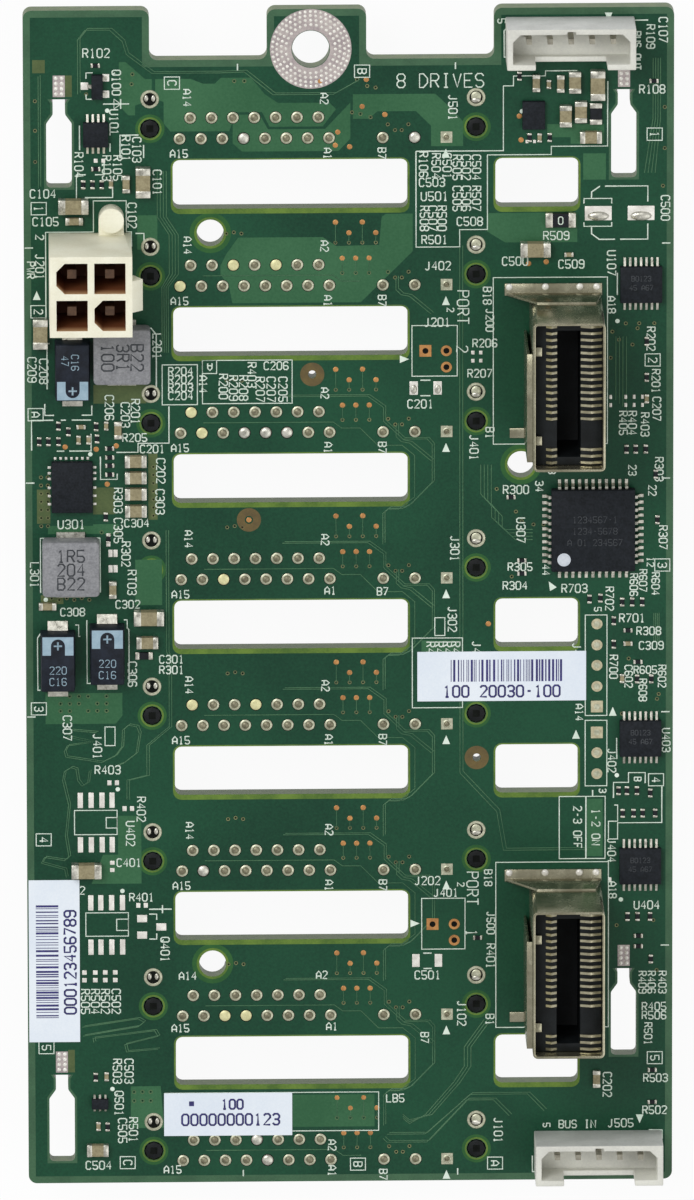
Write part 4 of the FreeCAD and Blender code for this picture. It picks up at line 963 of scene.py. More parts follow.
def print_on_board():
    """White print: names of parts, outlines, grid marks, pin marks."""
    strokes = []
    for (height, turn), words in WORDS.items():
        for text, x, y in words:
            strokes += lettering(text, x, y, height, turn)
    filled = []
    for number, row in enumerate(ROWS):
        for name, (x, rise, turn) in {**ROW_NAMES, **ROW_CHANGES.get(number, {})}.items():
            strokes += lettering(name, x, row + rise, 0.92, turn)
        filled.append(pointed(11.55, row - 1.95, 0))
    for text, x, y in GRID_MARKS:
        strokes += lettering(text, x, y, 1.0, DOWN)
        strokes.append(frame_line(x - 0.9, y - 0.75, x + 0.9, y + 0.75))
    strokes += [[(x, y), (x + across, y + up)] for x, y, across, up in EDGE_TICKS]
    strokes += LINES
    strokes += [frame_line(*box) for box in BOXES]
    width = bpy.context.scene.backplane_sizes.print_width / MM
    finish_piece(ribbons(strokes, width, FRONT + PRINT_RISE), "printed_lines", "silk_print")
    filled += [pointed(x, y, turn) for x, y, turn in TRIANGLES]
    filled += [arc_points(x, y, 0.27, 14) for x, y in PIN_DOTS]
    finish_piece(flat_shapes(filled, FRONT + MARK_RISE), "printed_marks", "silk_print")


# ---- labels ----
BAR_WIDTHS = (0.09, 0.09, 0.16, 0.26)
BAR_GAPS = (0.12, 0.2, 0.3)


def bar_spans(rng, length):
    """Start and end of each bar of a bar code of made-up bars."""
    spans, start = [], 0.0
    while start < length:
        width = rng.choice(BAR_WIDTHS)
        spans.append((start, start + width))
        start += width + rng.choice(BAR_GAPS)
    return spans


def label_print():
    """Bars and plain digits on the three paper labels."""
    rng = random.Random(21)
    top = FRONT + LABEL_THICKNESS + INK_RISE
    bars = [rectangle(12.1 + start, -10.3, 12.1 + end, -7.6) for start, end in bar_spans(rng, 13.3)]
    bars += [rectangle(-37.7, -37.6 - end, -35.0, -37.6 - start) for start, end in bar_spans(rng, 14.2)]
    bars.append(rectangle(-19.4, -62.7, -18.8, -62.1))
    digits = lettering("100 20030-100", 18.2, -11.5, 1.35)
    digits += lettering("000123456789", -33.6, -44.7, 1.35, 90)
    digits += lettering("100", -14.2, -62.5, 1.15)
    digits += lettering("00000000123", -14.4, -64.4, 1.35)
    finish_piece(flat_shapes(bars, top), "label_bars", "label_ink")
    finish_piece(ribbons(digits, 0.25, top), "label_digits", "label_ink")


# ---- pads, joints and holes ----
def row_heights():
    """Y of the lower row of joints of every drive receptacle, from the top down."""
    rows = []
    for number in DRIVES:
        low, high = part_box("drive_receptacle_%d_contacts" % number)
        rows.append((low.y + high.y) / 2 / MM - 1.75)
    return rows


# joints that differ from the rest: receptacle, row of joints, place in the row
FILLED = {(2, 0, 0), (2, 1, 2), (2, 1, 4), (3, 0, 1), (3, 1, 0), (4, 0, 2), (5, 1, 0), (5, 1, 3),
          (7, 0, 2), (7, 0, 3)}
BRIGHT = {(1, 0, 9), (1, 0, 3), (3, 0, 3), (3, 0, 4), (3, 0, 5), (6, 0, 1), (8, 0, 4), (8, 1, 3)}


def joint_places():
    """Centres of the round joints of the drive receptacles: x, y, and the number of each one."""
    places = []
    for number, row in enumerate(row_heights(), 1):
        lower = [-20.12 + CONTACT_PITCH * n for n in range(8)] + [4.04, 7.84]
        upper = [-18.85 + CONTACT_PITCH * n for n in range(7)]
        places += [(x, row, (number, 0, n)) for n, x in enumerate(lower)]
        places += [(x, row + CONTACT_PITCH, (number, 1, n)) for n, x in enumerate(upper)]
    return places


def solder_dome(radius, height, sides=14):
    """Low dome with its edge on the board at the origin."""
    deselect_all()
    bpy.ops.mesh.primitive_uv_sphere_add(segments=sides, ring_count=8, radius=radius * MM)
    dome = bpy.context.object
    select_faces(dome, lambda centre, normal: centre.z < 0)
    bpy.ops.mesh.delete(type="FACE")
    leave_edit()
    dome.scale.z = height / radius
    apply_place(dome)
    bpy.ops.object.shade_smooth()
    return dome


def two_tone(piece, outer, inner, test):
    """Give a model one finish, and a second one on the faces that pass the test."""
    piece.data.materials.clear()
    piece.data.materials.append(finish(outer))
    paint_faces(piece, inner, test)
    return piece


def pin_joint(sides=20, radius=JOINT_RADIUS, hollow=0.41):
    """Tinned ring with the end of a pin in the middle of it."""
    ring = stepped_disc(0, 0, 0.03, radius, sides, [(0.08, 0.05), (radius - hollow - 0.14, 0.02),
                                                    (0.06, -0.07), (0.1, 0.1)])
    bpy.ops.object.shade_smooth_by_angle(angle=math.radians(50))
    # The pin end and the wall of the recess round it get a darker finish: partly the pin's own duller metal,
    # partly painted shade.
    return two_tone(ring, "worn_tin", "dull_pin_and_recess_shade", lambda centre, normal: centre.xy.length < hollow)


def board_lock(left):
    """Tinned hole with the split end of a board lock in it."""
    lock = stepped_disc(0, 0, 0.03, 1.12, 26, [(0.06, 0.06), (0.2, 0.02), (0.08, -0.06)])
    # The middle of the lock is painted dark: painted shade and dark reflection of its split end.
    two_tone(lock, "worn_tin", "painted_dark_shade", lambda centre, normal: centre.xy.length < 0.3)
    if left:
        lobes = [(x, 0.1, 0.34, 0.12, (0.75, 1.2, 1.0), "solder") for x in (-0.42, 0.42)]
    else:
        lobes = [(0.0, 0.1, 0.62, 0.1, (1.0, 1.0, 1.0), "worn_tin"),
                 (0.0, -0.34, 0.44, 0.16, (1.3, 0.75, 1.0), "solder")]
    pieces = [lock]
    for x, y, radius, height, size, tone in lobes:
        lobe = solder_dome(radius, height)
        lobe.location = (x * MM, y * MM, 0.034 * MM)
        lobe.scale = size
        apply_place(lobe)
        lobe.data.materials.append(finish(tone))
        pieces.append(lobe)
    return join(pieces)


def row_joints():
    """Soldered pins of the receptacles, their square first pads and the board locks."""
    rng = random.Random(7)
    hollow, filled, bright, seats = [], [], [], []
    for x, y, key in joint_places():
        group = filled if key in FILLED else bright if key in BRIGHT else hollow
        group.append((x, y, FRONT, rng.uniform(0, 360), 1.0))
        seats += [arc_points(x, y, JOINT_RADIUS + grow, 20) for grow in (0.07, -0.1)]
    finish_piece(stamp(pin_joint(), hollow), "pin_joints", None)
    finish_piece(stamp(solder_dome(JOINT_RADIUS, 0.14, 18), filled), "filled_joints", "pale_tin")
    finish_piece(stamp(solder_dome(JOINT_RADIUS, 0.22, 18), bright), "bright_joints", "solder")
    # dark rings round the joints: painted shade where they meet the board
    finish_piece(flat_shapes(seats, FRONT + SEAT_RISE), "joint_seats", "painted_dark_shade")
    squares = []
    for row in row_heights():
        pad = add_block((10.93, row - 0.7, FRONT), (12.33, row + 0.7, FRONT + 0.06))
        bevel(pad, 0.05, 1)
        pad.data.materials.append(finish("worn_tin"))
        squares.append(pad)
    squares.append(stamp(pin_joint(16, 0.5, 0.3), [(11.63, row, FRONT + 0.05, 0, 1.0)
                                                   for row in row_heights()]))
    finish_piece(join(squares), "square_pads", None)
    for x, name in zip(PEGS_X, ("left_board_locks", "right_board_locks")):
        # the upper label hides one lock of the right column
        places = [(x, row + 4.85, FRONT, 0, 1.0) for row in ROWS if x < 0 or row != ROWS[4]]
        finish_piece(stamp(board_lock(x < 0), places), name, None)
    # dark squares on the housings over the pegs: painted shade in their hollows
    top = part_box("drive_receptacle_1_housing")[1].z / MM + 0.01
    hollows = [rectangle(x - 0.42, row + PEG_RISE - 0.42, x + 0.42, row + PEG_RISE + 0.42)
               for row in ROWS for x in PEGS_X]
    finish_piece(flat_shapes(hollows, top), "peg_hollows", "painted_dark_shade")


def bump_fields():
    """Tinned ring with rows of bumps at the screw hole, and tinned pads above the keyholes."""
    bumps, pads = [], []
    for radius, count in ((2.95, 28), (3.5, 34), (4.05, 40), (4.55, 46)):
        for n in range(count):
            turn = 2 * math.pi * (n + radius) / count
            bumps.append((SCREW_HOLE[0] + radius * math.cos(turn),
                          SCREW_HOLE[1] + radius * math.sin(turn), FRONT + TIN_RISE, 0, 0.66))
    for x, top in KEYHOLES:
        pads.append(rectangle(x - 0.72, top + 0.28, x + 0.72, top + 2.9))
        bumps += [(x + across, top + 0.65 + 0.64 * n, FRONT + TIN_RISE, 0, 0.85)
                  for across in (-0.35, 0.35) for n in range(4)]
    ring = [arc_points(*SCREW_HOLE, 4.85, 48), arc_points(*SCREW_HOLE, 2.3, 32)]
    finish_piece(flat_shapes(ring, FRONT + TIN_RISE), "screw_ring", "pink_tin")
    finish_piece(flat_shapes(pads, FRONT + TIN_RISE), "keyhole_pads", "pink_tin")
    finish_piece(stamp(solder_dome(0.3, 0.14, 10), bumps), "solder_bumps", "bump_tin")


# pads of parts that are left off, by width and height: x, y
EMPTY_PADS = {
    (1.0, 1.65): [(7.7, 25.85), (10.55, 25.85)],
    (0.9, 1.6): [(7.9, -44.8), (10.6, -44.8)],
    (0.9, 0.9): [(-28.9, 64.0), (-31.4, 63.0), (-28.9, 62.0)],
    (0.4, 0.45): [(14.76, 30.15), (15.7, 30.15), (14.76, 29.16), (15.7, 29.16)],
    (0.5, 0.6): [(-27.0, -25.7), (-26.1, -25.7), (-28.8, -22.5), (-27.9, -22.5), (-25.4, -37.7),
                  (-24.5, -37.7)],
    (0.55, 0.5): [(-28.5, -32.4), (-28.5, -33.3)],
    (1.2, 0.9): [(-24.95, -39.35), (-24.95, -41.4), (-22.65, -40.4)],
    (0.5, 0.9): [(-28.55, 5.8), (-27.95, 5.8), (-28.55, 3.9), (-27.95, 3.9)],
    (0.5, 0.7): [(-28.8, 7.9)],
    (0.5, 0.5): [(-28.8, 6.9)],
    (3.2, 1.75): [(29.7, 47.1), (34.8, 47.1)],
    (0.35, 0.4): [(21.2, 55.9), (22.1, 55.9)],
    (0.45, 0.5): [(-30.1, 53.9), (-29.2, 53.9)],
    (0.63, 1.9): [(x, y) for x in (-32.3, -31.0, -29.7, -28.5) for y in (-24.65, -30.15)]
    + [(x, y) for x in (-31.1, -29.9, -28.6, -27.3) for y in (-37.35, -42.85)],
    (0.55, 0.55): [(x, y) for x in (-31.9, -30.6, -29.4, -28.2) for y in (-46.0, -46.95)],
    (0.4, 0.3): [(x, y) for x in (-30.4, -35.8) for y in (16.4, 15.7, 15.0, 13.9, 12.9, 11.9)],
    (0.3, 0.35): [(-35.1 + 0.65 * n, 17.5) for n in range(7)],
    (0.32, 0.5): [(x, y) for x in (31.2, 33.0, 34.0, 35.0) for y in (24.6, 23.6, -34.9)],
}
# plated holes for parts that are left off: x, y, square, copper coloured
PLATED = [(9.1, 30.4, True, True), (11.6, 30.4, False, True), (11.6, 28.4, False, True),
          (9.9, -40.3, True, True), (12.5, -40.3, False, True), (12.5, -42.3, False, True),
          (29.6, -13.5, True, False), (29.6, -16.7, True, False)]
PLATED += [(29.6, y, False, False) for y in (-3.3, -5.9, -8.4, -11.0, -19.2, -21.8)]


def empty_pads():
    """Tinned pads and plated holes of the parts that are left off."""
    pads = [add_block((x - width / 2, y - height / 2, FRONT),
                      (x + width / 2, y + height / 2, FRONT + 0.07))
            for (width, height), spots in EMPTY_PADS.items() for x, y in spots]
    finish_piece(bevel(join(pads), 0.05), "empty_pads", "bump_tin")
    mounds = [(x, y, FRONT + 0.06, 0, size) for x, y, size in
              ((29.7, 46.75, (3.6, 1.6, 2.0)), (34.8, 46.75, (3.6, 1.6, 2.0)),
               (7.7, 25.7, (1.1, 1.6, 1.0)), (10.55, 25.7, (1.1, 1.6, 1.0)))]
    finish_piece(stamp(solder_dome(0.36, 0.14, 16), mounds), "pad_mounds", "solder")
    # the middles of the copper plated holes get painted shade
    for copper, name, tones in ((True, "copper_plated_holes", ("bare_copper", "painted_dark_shade")),
                                (False, "tinned_plated_holes", ("tan_tin", "worn_tin"))):
        pieces = []
        for x, y, square, tone in PLATED:
            if tone != copper:
                continue
            if square:
                rim = bevel(add_block((x - 0.72, y - 0.72, FRONT), (x + 0.72, y + 0.72, FRONT + 0.05)),
                            0.04, 1)
            else:
                rim = dished_disc(x, y, FRONT + 0.06, 0.66, 22)
            hole = dished_disc(x, y, FRONT + 0.065, 0.36, 16)
            for piece, material in zip((rim, hole), tones):
                piece.data.materials.append(finish(material))
                pieces.append(piece)
        finish_piece(join(pieces), name, None)


# ---- marks on the parts ----
# finish, slot, height above the board and letter height: text, x, y, turn
PART_TEXTS = {
    ("coil_mark", "coil_powder", COIL_TOP, 1.45): [
        ("100", -28.8, 30.5, DOWN), ("3R1", -27.0, 30.5, DOWN), ("B22", -25.3, 30.5, DOWN),
        ("1R5", -33.3, 6.2, 0), ("204", -33.3, 4.5, 0), ("B22", -33.3, 2.8, 0)],
    ("pale_band", "capacitor_epoxy", CAPACITOR_TOP, 0.85): [
        ("47", -33.9, 30.1, DOWN), ("C16", -32.7, 29.9, DOWN)],
    ("pale_band", "capacitor_epoxy", CAPACITOR_TOP, 0.9): [
        ("220", -34.9, -7.9, 0), ("C16", -34.9, -9.3, 0), ("220", -29.0, -7.1, 0), ("C16", -29.0, -8.5, 0)],
    ("chip_mark", "chip_epoxy", CONTROLLER_TOP, 0.75): [
        ("1234567-1", 29.3, 9.9, 0), ("1234-5678", 29.3, 8.5, 0), ("A 01 234567", 29.3, 7.1, 0)],
    ("chip_mark", "chip_epoxy", POWER_CHIP_TOP, 0.7): [
        ("A01", -33.4, 16.0, 0), ("234", -33.4, 14.6, 0), ("5678", -33.4, 12.8, 0)],
    ("chip_mark", "chip_epoxy", BUFFER_TOP, 0.6): [
        (text, 34.8, y + rise, 0) for y in (38.5, -17.3, -33.1)
        for text, rise in (("B0123", 0.8), ("45 A67", -0.3))],
}


def part_marks():
    """Printed digits, bands and dots on the coils, capacitors and chips."""
    for (material, slot, rise, height), words in PART_TEXTS.items():
        strokes = []
        for text, x, y, turn in words:
            strokes += lettering(text, x, y, height, turn)
        name = "%s_%d_%d" % (material, round(rise * 10), round(height * 100))
        piece = ribbons(strokes, 0.13 if height < 1.2 else 0.2, FRONT + rise + INK_RISE, 0.01)
        finish_piece(piece, name, material)
    bands, signs = [], []
    for x, y, side in ((-33.0, 28.6, -1), (-34.9, -7.1, 1), (-29.0, -6.3, 1)):
        inner, notch, outer = [y + side * step for step in (1.05, 2.2, 3.3)]
        arch = [(x + BAND_NOTCH * math.cos(math.pi * n / 12),
                 notch + side * BAND_NOTCH * math.sin(math.pi * n / 12)) for n in range(13)]
        bands.append([(x - 1.85, inner), (x - 1.85, outer), (x + 1.85, outer), (x + 1.85, inner),
                      (x + BAND_NOTCH, inner)] + arch + [(x - BAND_NOTCH, inner)])
        signs += [[(x - 0.5, notch), (x + 0.5, notch)], [(x, notch - 0.5), (x, notch + 0.5)]]
    finish_piece(flat_shapes(bands, FRONT + CAPACITOR_TOP + INK_RISE), "capacitor_bands", "pale_band")
    finish_piece(ribbons(signs, 0.24, FRONT + CAPACITOR_TOP + 0.015, 0.01), "capacitor_signs",
                 "pale_band")
    finish_piece(flat_shapes([arc_points(25.6, 5.0, 0.8, 26)], FRONT + CONTROLLER_TOP + INK_RISE),
                 "controller_dot", "chip_dot")
    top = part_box("large_resistors")[1].z / MM
    finish_piece(ribbons(lettering("0", 25.2, 46.4, 0.9), 0.16, top + 0.01, 0.01), "resistor_digit",
                 "silk_print")


PORTS = {"a": (25.8, 28.1), "b": (25.8, -44.05)}
CAGE_TOP = 13.5


def port_tabs():
    """Folded tabs of the cages that hold the inserts down, and the joints along their feet."""
    for port, (x, y) in PORTS.items():
        tabs = [add_block((x - 4.1, y + up - 0.55, FRONT + CAGE_TOP - 0.25),
                          (x - 3.2, y + up + 0.55, FRONT + CAGE_TOP)) for up in (5.25, -5.6)]
        finish_piece(bevel(join(tabs), 0.06), "cable_port_%s_tabs" % port, "cage_steel")
        joints = [(x + across, y + 10.1, FRONT + 0.3, 0, 1.0) for across in (-6.7, -2.4, 1.7, 3.7)]
        finish_piece(stamp(solder_dome(0.42, 0.2), joints), "cable_port_%s_foot_joints" % port,
                     "bump_tin")


# ---- carried-over solids ----
# solids that get soft edges: finish, edge width, slot, solids
DRESSED = [
    ("cream_nylon", 0.15, "cream_nylon", ["power_header_body"]),
    ("white_nylon", 0.12, "white_nylon", ["bus_header_out_body", "bus_header_in_body"]),
    ("chip_epoxy", 0.12, "chip_epoxy", ["controller_chip_body"]),
    ("chip_epoxy", 0.1, "chip_epoxy", ["buffer_chip_1_body", "buffer_chip_2_body", "buffer_chip_3_body",
                                       "small_chip_body"]),
    ("chip_epoxy", 0.08, "chip_epoxy", ["transistor_bodies"]),
    ("chip_epoxy", 0.1, "chip_epoxy", ["power_stage_chip"]),
    ("chip_epoxy", 0.08, "chip_epoxy", ["flat_chip"]),
    ("coil_grey", 0.15, "coil_powder", ["coil_bodies"]),
    ("navy_epoxy", 0.12, "capacitor_epoxy", ["polymer_capacitor_bodies"]),
    ("black_nylon", 0.1, "black_nylon", ["cable_port_a_insert", "cable_port_b_insert"]),
    ("cage_steel", 0.05, "bright_steel", ["cable_port_a_cage", "cable_port_b_cage"]),
]
# solids that stay as packed, by finish
PLAIN = {
    "laminate": ["circuit_board"],
    "pin_metal": ["receptacle_board_locks", "bus_header_out_pins", "bus_header_in_pins"],
    "lamp_resin": ["status_lamps"],
    "port_contact": ["cable_port_a_contacts", "cable_port_b_contacts"],
    # the header's pins take a dark brown that is painted shade of the wells
    "painted_shade_well_pin": ["power_header_pins"],
    "solder": [
        "controller_chip_legs", "buffer_chip_1_legs", "buffer_chip_2_legs", "buffer_chip_3_legs",
        "small_chip_legs", "transistor_legs", "coil_terminals", "polymer_capacitor_terminals"],
    "label_paper": ["upper_label", "left_label", "lower_label"],
    "gold_contact": ["drive_receptacle_%d_contacts" % number for number in DRIVES],
}


def dressed_solids():
    """Moulded and folded parts with soft edges, and finishes on the solids that stay."""
    for number, row in zip(DRIVES, ROWS):
        node, name = "drive_receptacle_%d_housing" % number, "receptacle_%d_moulding" % number
        # two housings reach under a tooling hole
        bores = [(x, y, across / 2 + 0.1) for x, y, across in ROUND_HOLES
                 if across == TOOLING_HOLE and abs(y - row - TOOLING_RISE) < 1]
        finish_piece(cad_copy(node, 0.08, bores), name, "black_nylon", [node])
    for material, width, slot, nodes in DRESSED:
        for node in nodes:
            piece = finish_piece(cad_copy(node, width), node + "_detailed", material, [node])
            if node == "power_header_body":
                # Painted shade: the walls and floors of the power header's wells take the deep brown finish.
                paint_faces(piece, "painted_well_shade", lambda centre, normal: abs(centre.x - WELLS[0]) < WELL_REACH
                            and abs(centre.y - WELLS[1]) < WELL_REACH
                            and FRONT + 0.5 < centre.z < FRONT + WELL_RIM)
            if node.startswith("bus_header"):
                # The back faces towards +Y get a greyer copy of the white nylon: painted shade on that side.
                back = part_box(node)[1].y / MM - 0.3
                paint_faces(piece, "painted_shade_nylon", lambda centre, normal: normal.y > 0.5
                            and centre.y > back)
    for material, nodes in PLAIN.items():
        for node in nodes:
            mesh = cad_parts[node].data
            mesh.materials.clear()
            mesh.materials.append(finish(material))


def chip_parts():
    """Each ceramic part and resistor as a body between two tinned ends."""
    for kind, material, slot in (("ceramic_capacitors", "tan_ceramic", "tan_ceramic"),
                                 ("resistors", "resistor_black", "resistor_glaze")):
        for node in ("large_" + kind, "small_" + kind):
            bodies, ends = [], []
            for low, high in loose_boxes(node):
                size = high - low
                axis = 0 if size.x > size.y else 1
                end = size[axis] * END_SHARE
                inner_low, inner_high = low.copy(), high.copy()
                inner_low[axis] += end * 0.8
                inner_high[axis] -= end * 0.8
                for corner, other, step in ((inner_high, 1 - axis, -0.03), (inner_high, 2, -0.03),
                                            (inner_low, 1 - axis, 0.03)):
                    corner[other] += step
                bodies.append(add_block(inner_low, inner_high))
                near_high, far_low = high.copy(), low.copy()
                near_high[axis] = low[axis] + end
                far_low[axis] = high[axis] - end
                ends += [add_block(low, near_high), add_block(far_low, high)]
            finish_piece(bevel(join(bodies), 0.04, 1), node + "_bodies", material, [node])
            finish_piece(bevel(join(ends), 0.07), node + "_ends", "solder")


# ---- stage ----
LENS = 652.5
CAMERA_TARGET = (-0.3, -0.15, FRONT)
CAMERA_DISTANCE = 2.6
CAMERA_LEAN, CAMERA_SIDE, CAMERA_ROLL = [math.radians(angle) for angle in (14.0, 1.2, -0.1)]
# area lamps, in metres and watts: place, size, power
LAMPS = {"key": ((-0.45, 0.5, 1.0), 0.6, 6.5), "fill": ((0.6, -0.3, 0.9), 0.8, 2.5)}
SKY_STRENGTH = 0.5
BACKGROUND = 0.94


def add_floor():
    """Pale floor that the camera and the gloss see as an even background, with its shadows."""
    tree, shader = new_material("floor", 0.9, specular=0.1)
    set_inputs(tree, shader, {"Base Color": (0.86, 0.86, 0.86, 1)})
    glow = add_node(tree, "Emission", {"Color": (1, 1, 1, 1)})
    rays = add_node(tree, "LightPath").outputs
    seen = rays["Is Camera Ray"]
    for kind in ("Is Glossy Ray", "Is Transmission Ray"):
        seen = add_node(tree, "Math", {0: seen, 1: rays[kind]}, operation="MAXIMUM").outputs[0]
    share = add_node(tree, "Math", {0: seen, 1: BACKGROUND}, operation="MULTIPLY")
    blend = add_node(tree, "MixShader", {0: share.outputs[0], 1: shader.outputs["BSDF"],
                                         2: glow.outputs["Emission"]})
    set_inputs(tree, tree.nodes["Material Output"], {"Surface": blend.outputs["Shader"]})
    deselect_all()
    bpy.ops.mesh.primitive_plane_add(size=6, location=(0, 0, 0))
    floor = bpy.context.object
    floor.name = "stage_floor"
    floor.data.materials.append(finish("floor"))


def add_lights():
    """Even white surroundings and two large lamps that face the middle of the board."""
    scene = bpy.context.scene
    scene.world = bpy.data.worlds.new("studio")
    scene.world.use_nodes = True
    tree = scene.world.node_tree
    set_inputs(tree, tree.nodes["Background"], {"Color": (1, 1, 1, 1), "Strength": SKY_STRENGTH})
    for name, (place, size, power) in LAMPS.items():
        light = bpy.data.lights.new(name, "AREA")
        light.size = size
        light.energy = power
        lamp = bpy.data.objects.new(name, light)
        lamp.location = place
        lamp.rotation_euler = (-Vector(place)).to_track_quat("-Z", "Y").to_euler()
        scene.collection.objects.link(lamp)


def add_camera():
    """Long lens that looks at the front face from a little above the board's top edge."""
    scene = bpy.context.scene
    data = bpy.data.cameras.new("camera")
    data.lens = LENS
    data.sensor_width = 36
    data.clip_end = 20
    camera = bpy.data.objects.new("camera", data)
    back = Vector((-math.sin(CAMERA_SIDE), math.sin(CAMERA_LEAN), math.cos(CAMERA_LEAN))).normalized()
    camera.location = Vector(CAMERA_TARGET) * MM + back * CAMERA_DISTANCE
    right = Vector((0, 1, 0)).cross(back).normalized()
    turn = Matrix((right, back.cross(right), back)).transposed()
    camera.rotation_euler = (turn @ Matrix.Rotation(CAMERA_ROLL, 3, "Z")).to_euler()
    scene.collection.objects.link(camera)
    scene.camera = camera
    scene.view_settings.view_transform = "Standard"


# ---- add-on ----
class BackplaneSizes(bpy.types.PropertyGroup):
    """Sizes of the thin lines on the board."""
    print_width: bpy.props.FloatProperty(
        name="Print Width", description="Width of a printed line", default=0.00019,
        min=0.00005, max=0.0005, precision=5, unit="LENGTH", subtype="DISTANCE")
    trace_width: bpy.props.FloatProperty(
        name="Trace Width", description="Width of a copper track", default=0.00013,
        min=0.00005, max=0.0005, precision=5, unit="LENGTH", subtype="DISTANCE")


class BackplaneColours(bpy.types.PropertyGroup):
    """Colours that differ from one make of board to another."""
    mask: bpy.props.FloatVectorProperty(
        name="Solder Mask", description="Lighter tone of the mask over the copper planes",
        default=srgb(22, 76, 51), size=4, min=0, max=1, subtype="COLOR")
    silk: bpy.props.FloatVectorProperty(
        name="Print", description="Lighter tone of the printed names and lines",
        default=srgb(232, 244, 232), size=4, min=0, max=1, subtype="COLOR")
    paper: bpy.props.FloatVectorProperty(
        name="Label Paper", description="Lighter tone of the paper labels",
        default=srgb(234, 241, 248), size=4, min=0, max=1, subtype="COLOR")
    ink: bpy.props.FloatVectorProperty(
        name="Label Ink", description="Lighter tone of the bars and digits on the labels",
        default=srgb(56, 52, 122), size=4, min=0, max=1, subtype="COLOR")


class BuildStep:
    """What the building operators share."""
    bl_options = {"REGISTER", "UNDO"}


def made(*names):
    """Result of an operator; raises an error for a piece that was not made."""
    for name in names:
        if name not in bpy.data.objects:
            raise RuntimeError(name + " was not made")
    return {"FINISHED"}


class BACKPLANE_OT_finishes(BuildStep, bpy.types.Operator):
    """Make every finish of the board and its parts"""
    bl_idname = "backplane.finishes"
    bl_label = "Finishes"

    def execute(self, context):
        build_materials()
        return made()


class BACKPLANE_OT_surface(BuildStep, bpy.types.Operator):
    """Lay the dark mask over both faces of the board"""
    bl_idname = "backplane.surface"
    bl_label = "Board Surface"

    def execute(self, context):
        board_surface()
        return made("front_mask", "back_mask", "edge_glow", "faint_glow")


class BACKPLANE_OT_pours(BuildStep, bpy.types.Operator):
    """Lay the paler areas where copper lies under the mask"""
    bl_idname = "backplane.pours"
    bl_label = "Copper Areas"

    def execute(self, context):
        copper_pours()
        return made("front_pours", "front_fills")


class BACKPLANE_OT_traces(BuildStep, bpy.types.Operator):
    """Lay the thin tracks"""
    bl_idname = "backplane.traces"
    bl_label = "Traces"

    def execute(self, context):
        copper_traces()
        return made("front_traces")


class BACKPLANE_OT_vias(BuildStep, bpy.types.Operator):
    """Add the small plated holes, the copper dots and their stems"""
    bl_idname = "backplane.vias"
    bl_label = "Small Holes"

    def execute(self, context):
        vias_and_dots()
        return made("via_rings", "via_holes", "test_dots", "test_stems", "fiducial_halos")


class BACKPLANE_OT_lettering(BuildStep, bpy.types.Operator):
    """Print the names, outlines and marks"""
    bl_idname = "backplane.lettering"
    bl_label = "Print"

    def execute(self, context):
        print_on_board()
        return made("printed_lines", "printed_marks")


class BACKPLANE_OT_labels(BuildStep, bpy.types.Operator):
    """Print the bars and digits of the paper labels"""
    bl_idname = "backplane.labels"
    bl_label = "Labels"

    def execute(self, context):
        label_print()
        return made("label_bars", "label_digits")


class BACKPLANE_OT_row_joints(BuildStep, bpy.types.Operator):
    """Add the soldered pins, square pads and board locks"""
    bl_idname = "backplane.row_joints"
    bl_label = "Row Joints"

    def execute(self, context):
        row_joints()
        return made("pin_joints", "filled_joints", "bright_joints", "joint_seats", "square_pads",
                    "left_board_locks", "right_board_locks", "peg_hollows")


class BACKPLANE_OT_bumps(BuildStep, bpy.types.Operator):
    """Add the screw ring and the keyhole pads with their bumps"""
    bl_idname = "backplane.bumps"
    bl_label = "Bump Fields"

    def execute(self, context):
        bump_fields()
        return made("screw_ring", "keyhole_pads", "solder_bumps")


class BACKPLANE_OT_empty_pads(BuildStep, bpy.types.Operator):
    """Add the pads and plated holes of the parts that are left off"""
    bl_idname = "backplane.empty_pads"
    bl_label = "Empty Pads"

    def execute(self, context):
        empty_pads()
        return made("empty_pads", "pad_mounds", "copper_plated_holes", "tinned_plated_holes")


class BACKPLANE_OT_marks(BuildStep, bpy.types.Operator):
    """Print the digits, bands and dots on the parts"""
    bl_idname = "backplane.marks"
    bl_label = "Part Marks"

    def execute(self, context):
        part_marks()
        return made("capacitor_bands", "capacitor_signs", "controller_dot", "resistor_digit")


class BACKPLANE_OT_tabs(BuildStep, bpy.types.Operator):
    """Add the folded tabs of the cable port cages and the joints of their feet"""
    bl_idname = "backplane.tabs"
    bl_label = "Port Tabs"

    def execute(self, context):
        port_tabs()
        return made("cable_port_a_tabs", "cable_port_a_foot_joints",
                    "cable_port_b_tabs", "cable_port_b_foot_joints")


class BACKPLANE_OT_solids(BuildStep, bpy.types.Operator):
    """Dress the moulded, folded and pressed solids"""
    bl_idname = "backplane.solids"
    bl_label = "Moulded Parts"

    def execute(self, context):
        dressed_solids()
        return made("receptacle_1_moulding", "receptacle_8_moulding", "power_header_body_detailed",
                    "cable_port_b_cage_detailed")


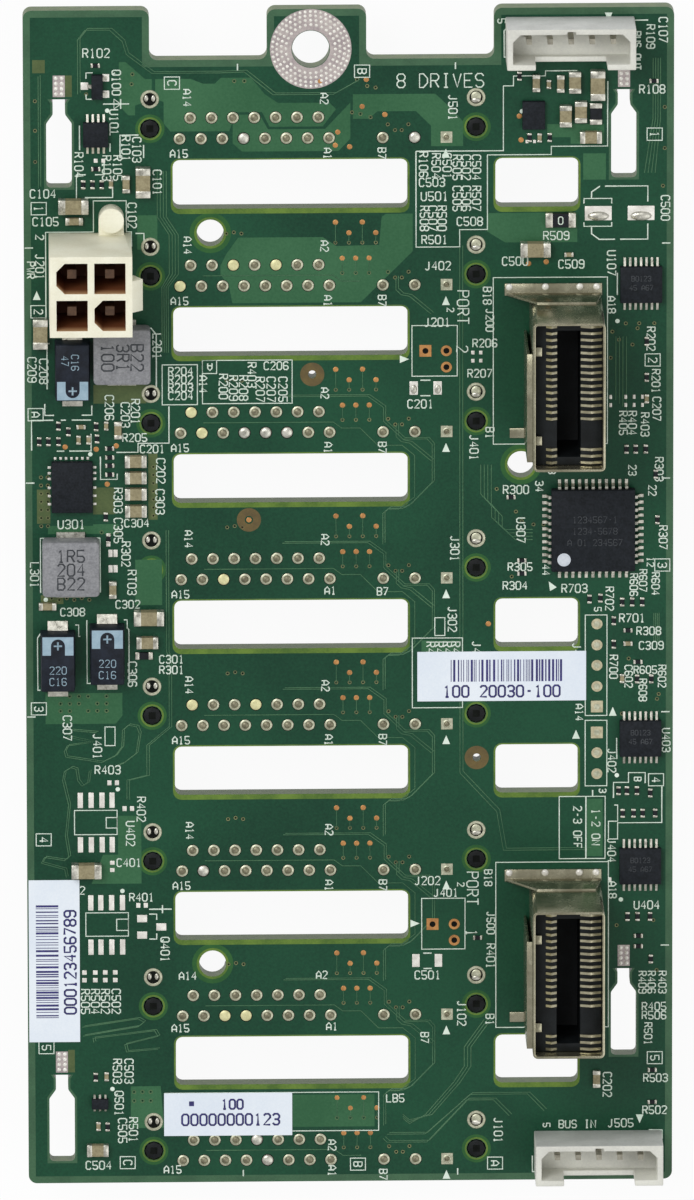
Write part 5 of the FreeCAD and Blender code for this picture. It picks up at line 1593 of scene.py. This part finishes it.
class BACKPLANE_OT_chips(BuildStep, bpy.types.Operator):
    """Add the ceramic capacitors and the resistors"""
    bl_idname = "backplane.chips"
    bl_label = "Chip Parts"

    def execute(self, context):
        chip_parts()
        return made("large_ceramic_capacitors_bodies", "small_resistors_ends")


class BACKPLANE_OT_stage(BuildStep, bpy.types.Operator):
    """Add the floor, the light and the camera"""
    bl_idname = "backplane.stage"
    bl_label = "Stage"

    def execute(self, context):
        add_floor()
        add_lights()
        add_camera()
        return made("stage_floor", "camera")


OPERATORS = [
    BACKPLANE_OT_finishes, BACKPLANE_OT_surface, BACKPLANE_OT_pours, BACKPLANE_OT_traces,
    BACKPLANE_OT_vias, BACKPLANE_OT_lettering, BACKPLANE_OT_labels, BACKPLANE_OT_row_joints,
    BACKPLANE_OT_bumps, BACKPLANE_OT_empty_pads, BACKPLANE_OT_marks, BACKPLANE_OT_tabs,
    BACKPLANE_OT_solids, BACKPLANE_OT_chips, BACKPLANE_OT_stage]


class BACKPLANE_PT_panel(bpy.types.Panel):
    """Sizes, colours and a button for every building step."""
    bl_label = "Drive Backplane"
    bl_idname = "BACKPLANE_PT_panel"
    bl_space_type = "VIEW_3D"
    bl_region_type = "UI"
    bl_category = "Backplane"

    def draw(self, context):
        for group in (context.scene.backplane_sizes, context.scene.backplane_colours):
            for name in group.__annotations__:
                self.layout.prop(group, name)
        for operator in OPERATORS:
            self.layout.operator(operator.bl_idname)


CLASSES = [BackplaneSizes, BackplaneColours, *OPERATORS, BACKPLANE_PT_panel]


def register():
    """Register the classes and hang the settings on the scene."""
    for item in CLASSES:
        bpy.utils.register_class(item)
    bpy.types.Scene.backplane_sizes = bpy.props.PointerProperty(type=BackplaneSizes)
    bpy.types.Scene.backplane_colours = bpy.props.PointerProperty(type=BackplaneColours)


def unregister():
    """Undo register."""
    del bpy.types.Scene.backplane_colours
    del bpy.types.Scene.backplane_sizes
    for item in reversed(CLASSES):
        bpy.utils.unregister_class(item)


def main():
    """Build everything in order."""
    register()
    for operator in OPERATORS:
        getattr(bpy.ops.backplane, operator.bl_idname.partition(".")[2])()


if __name__ == "__main__":
    main()
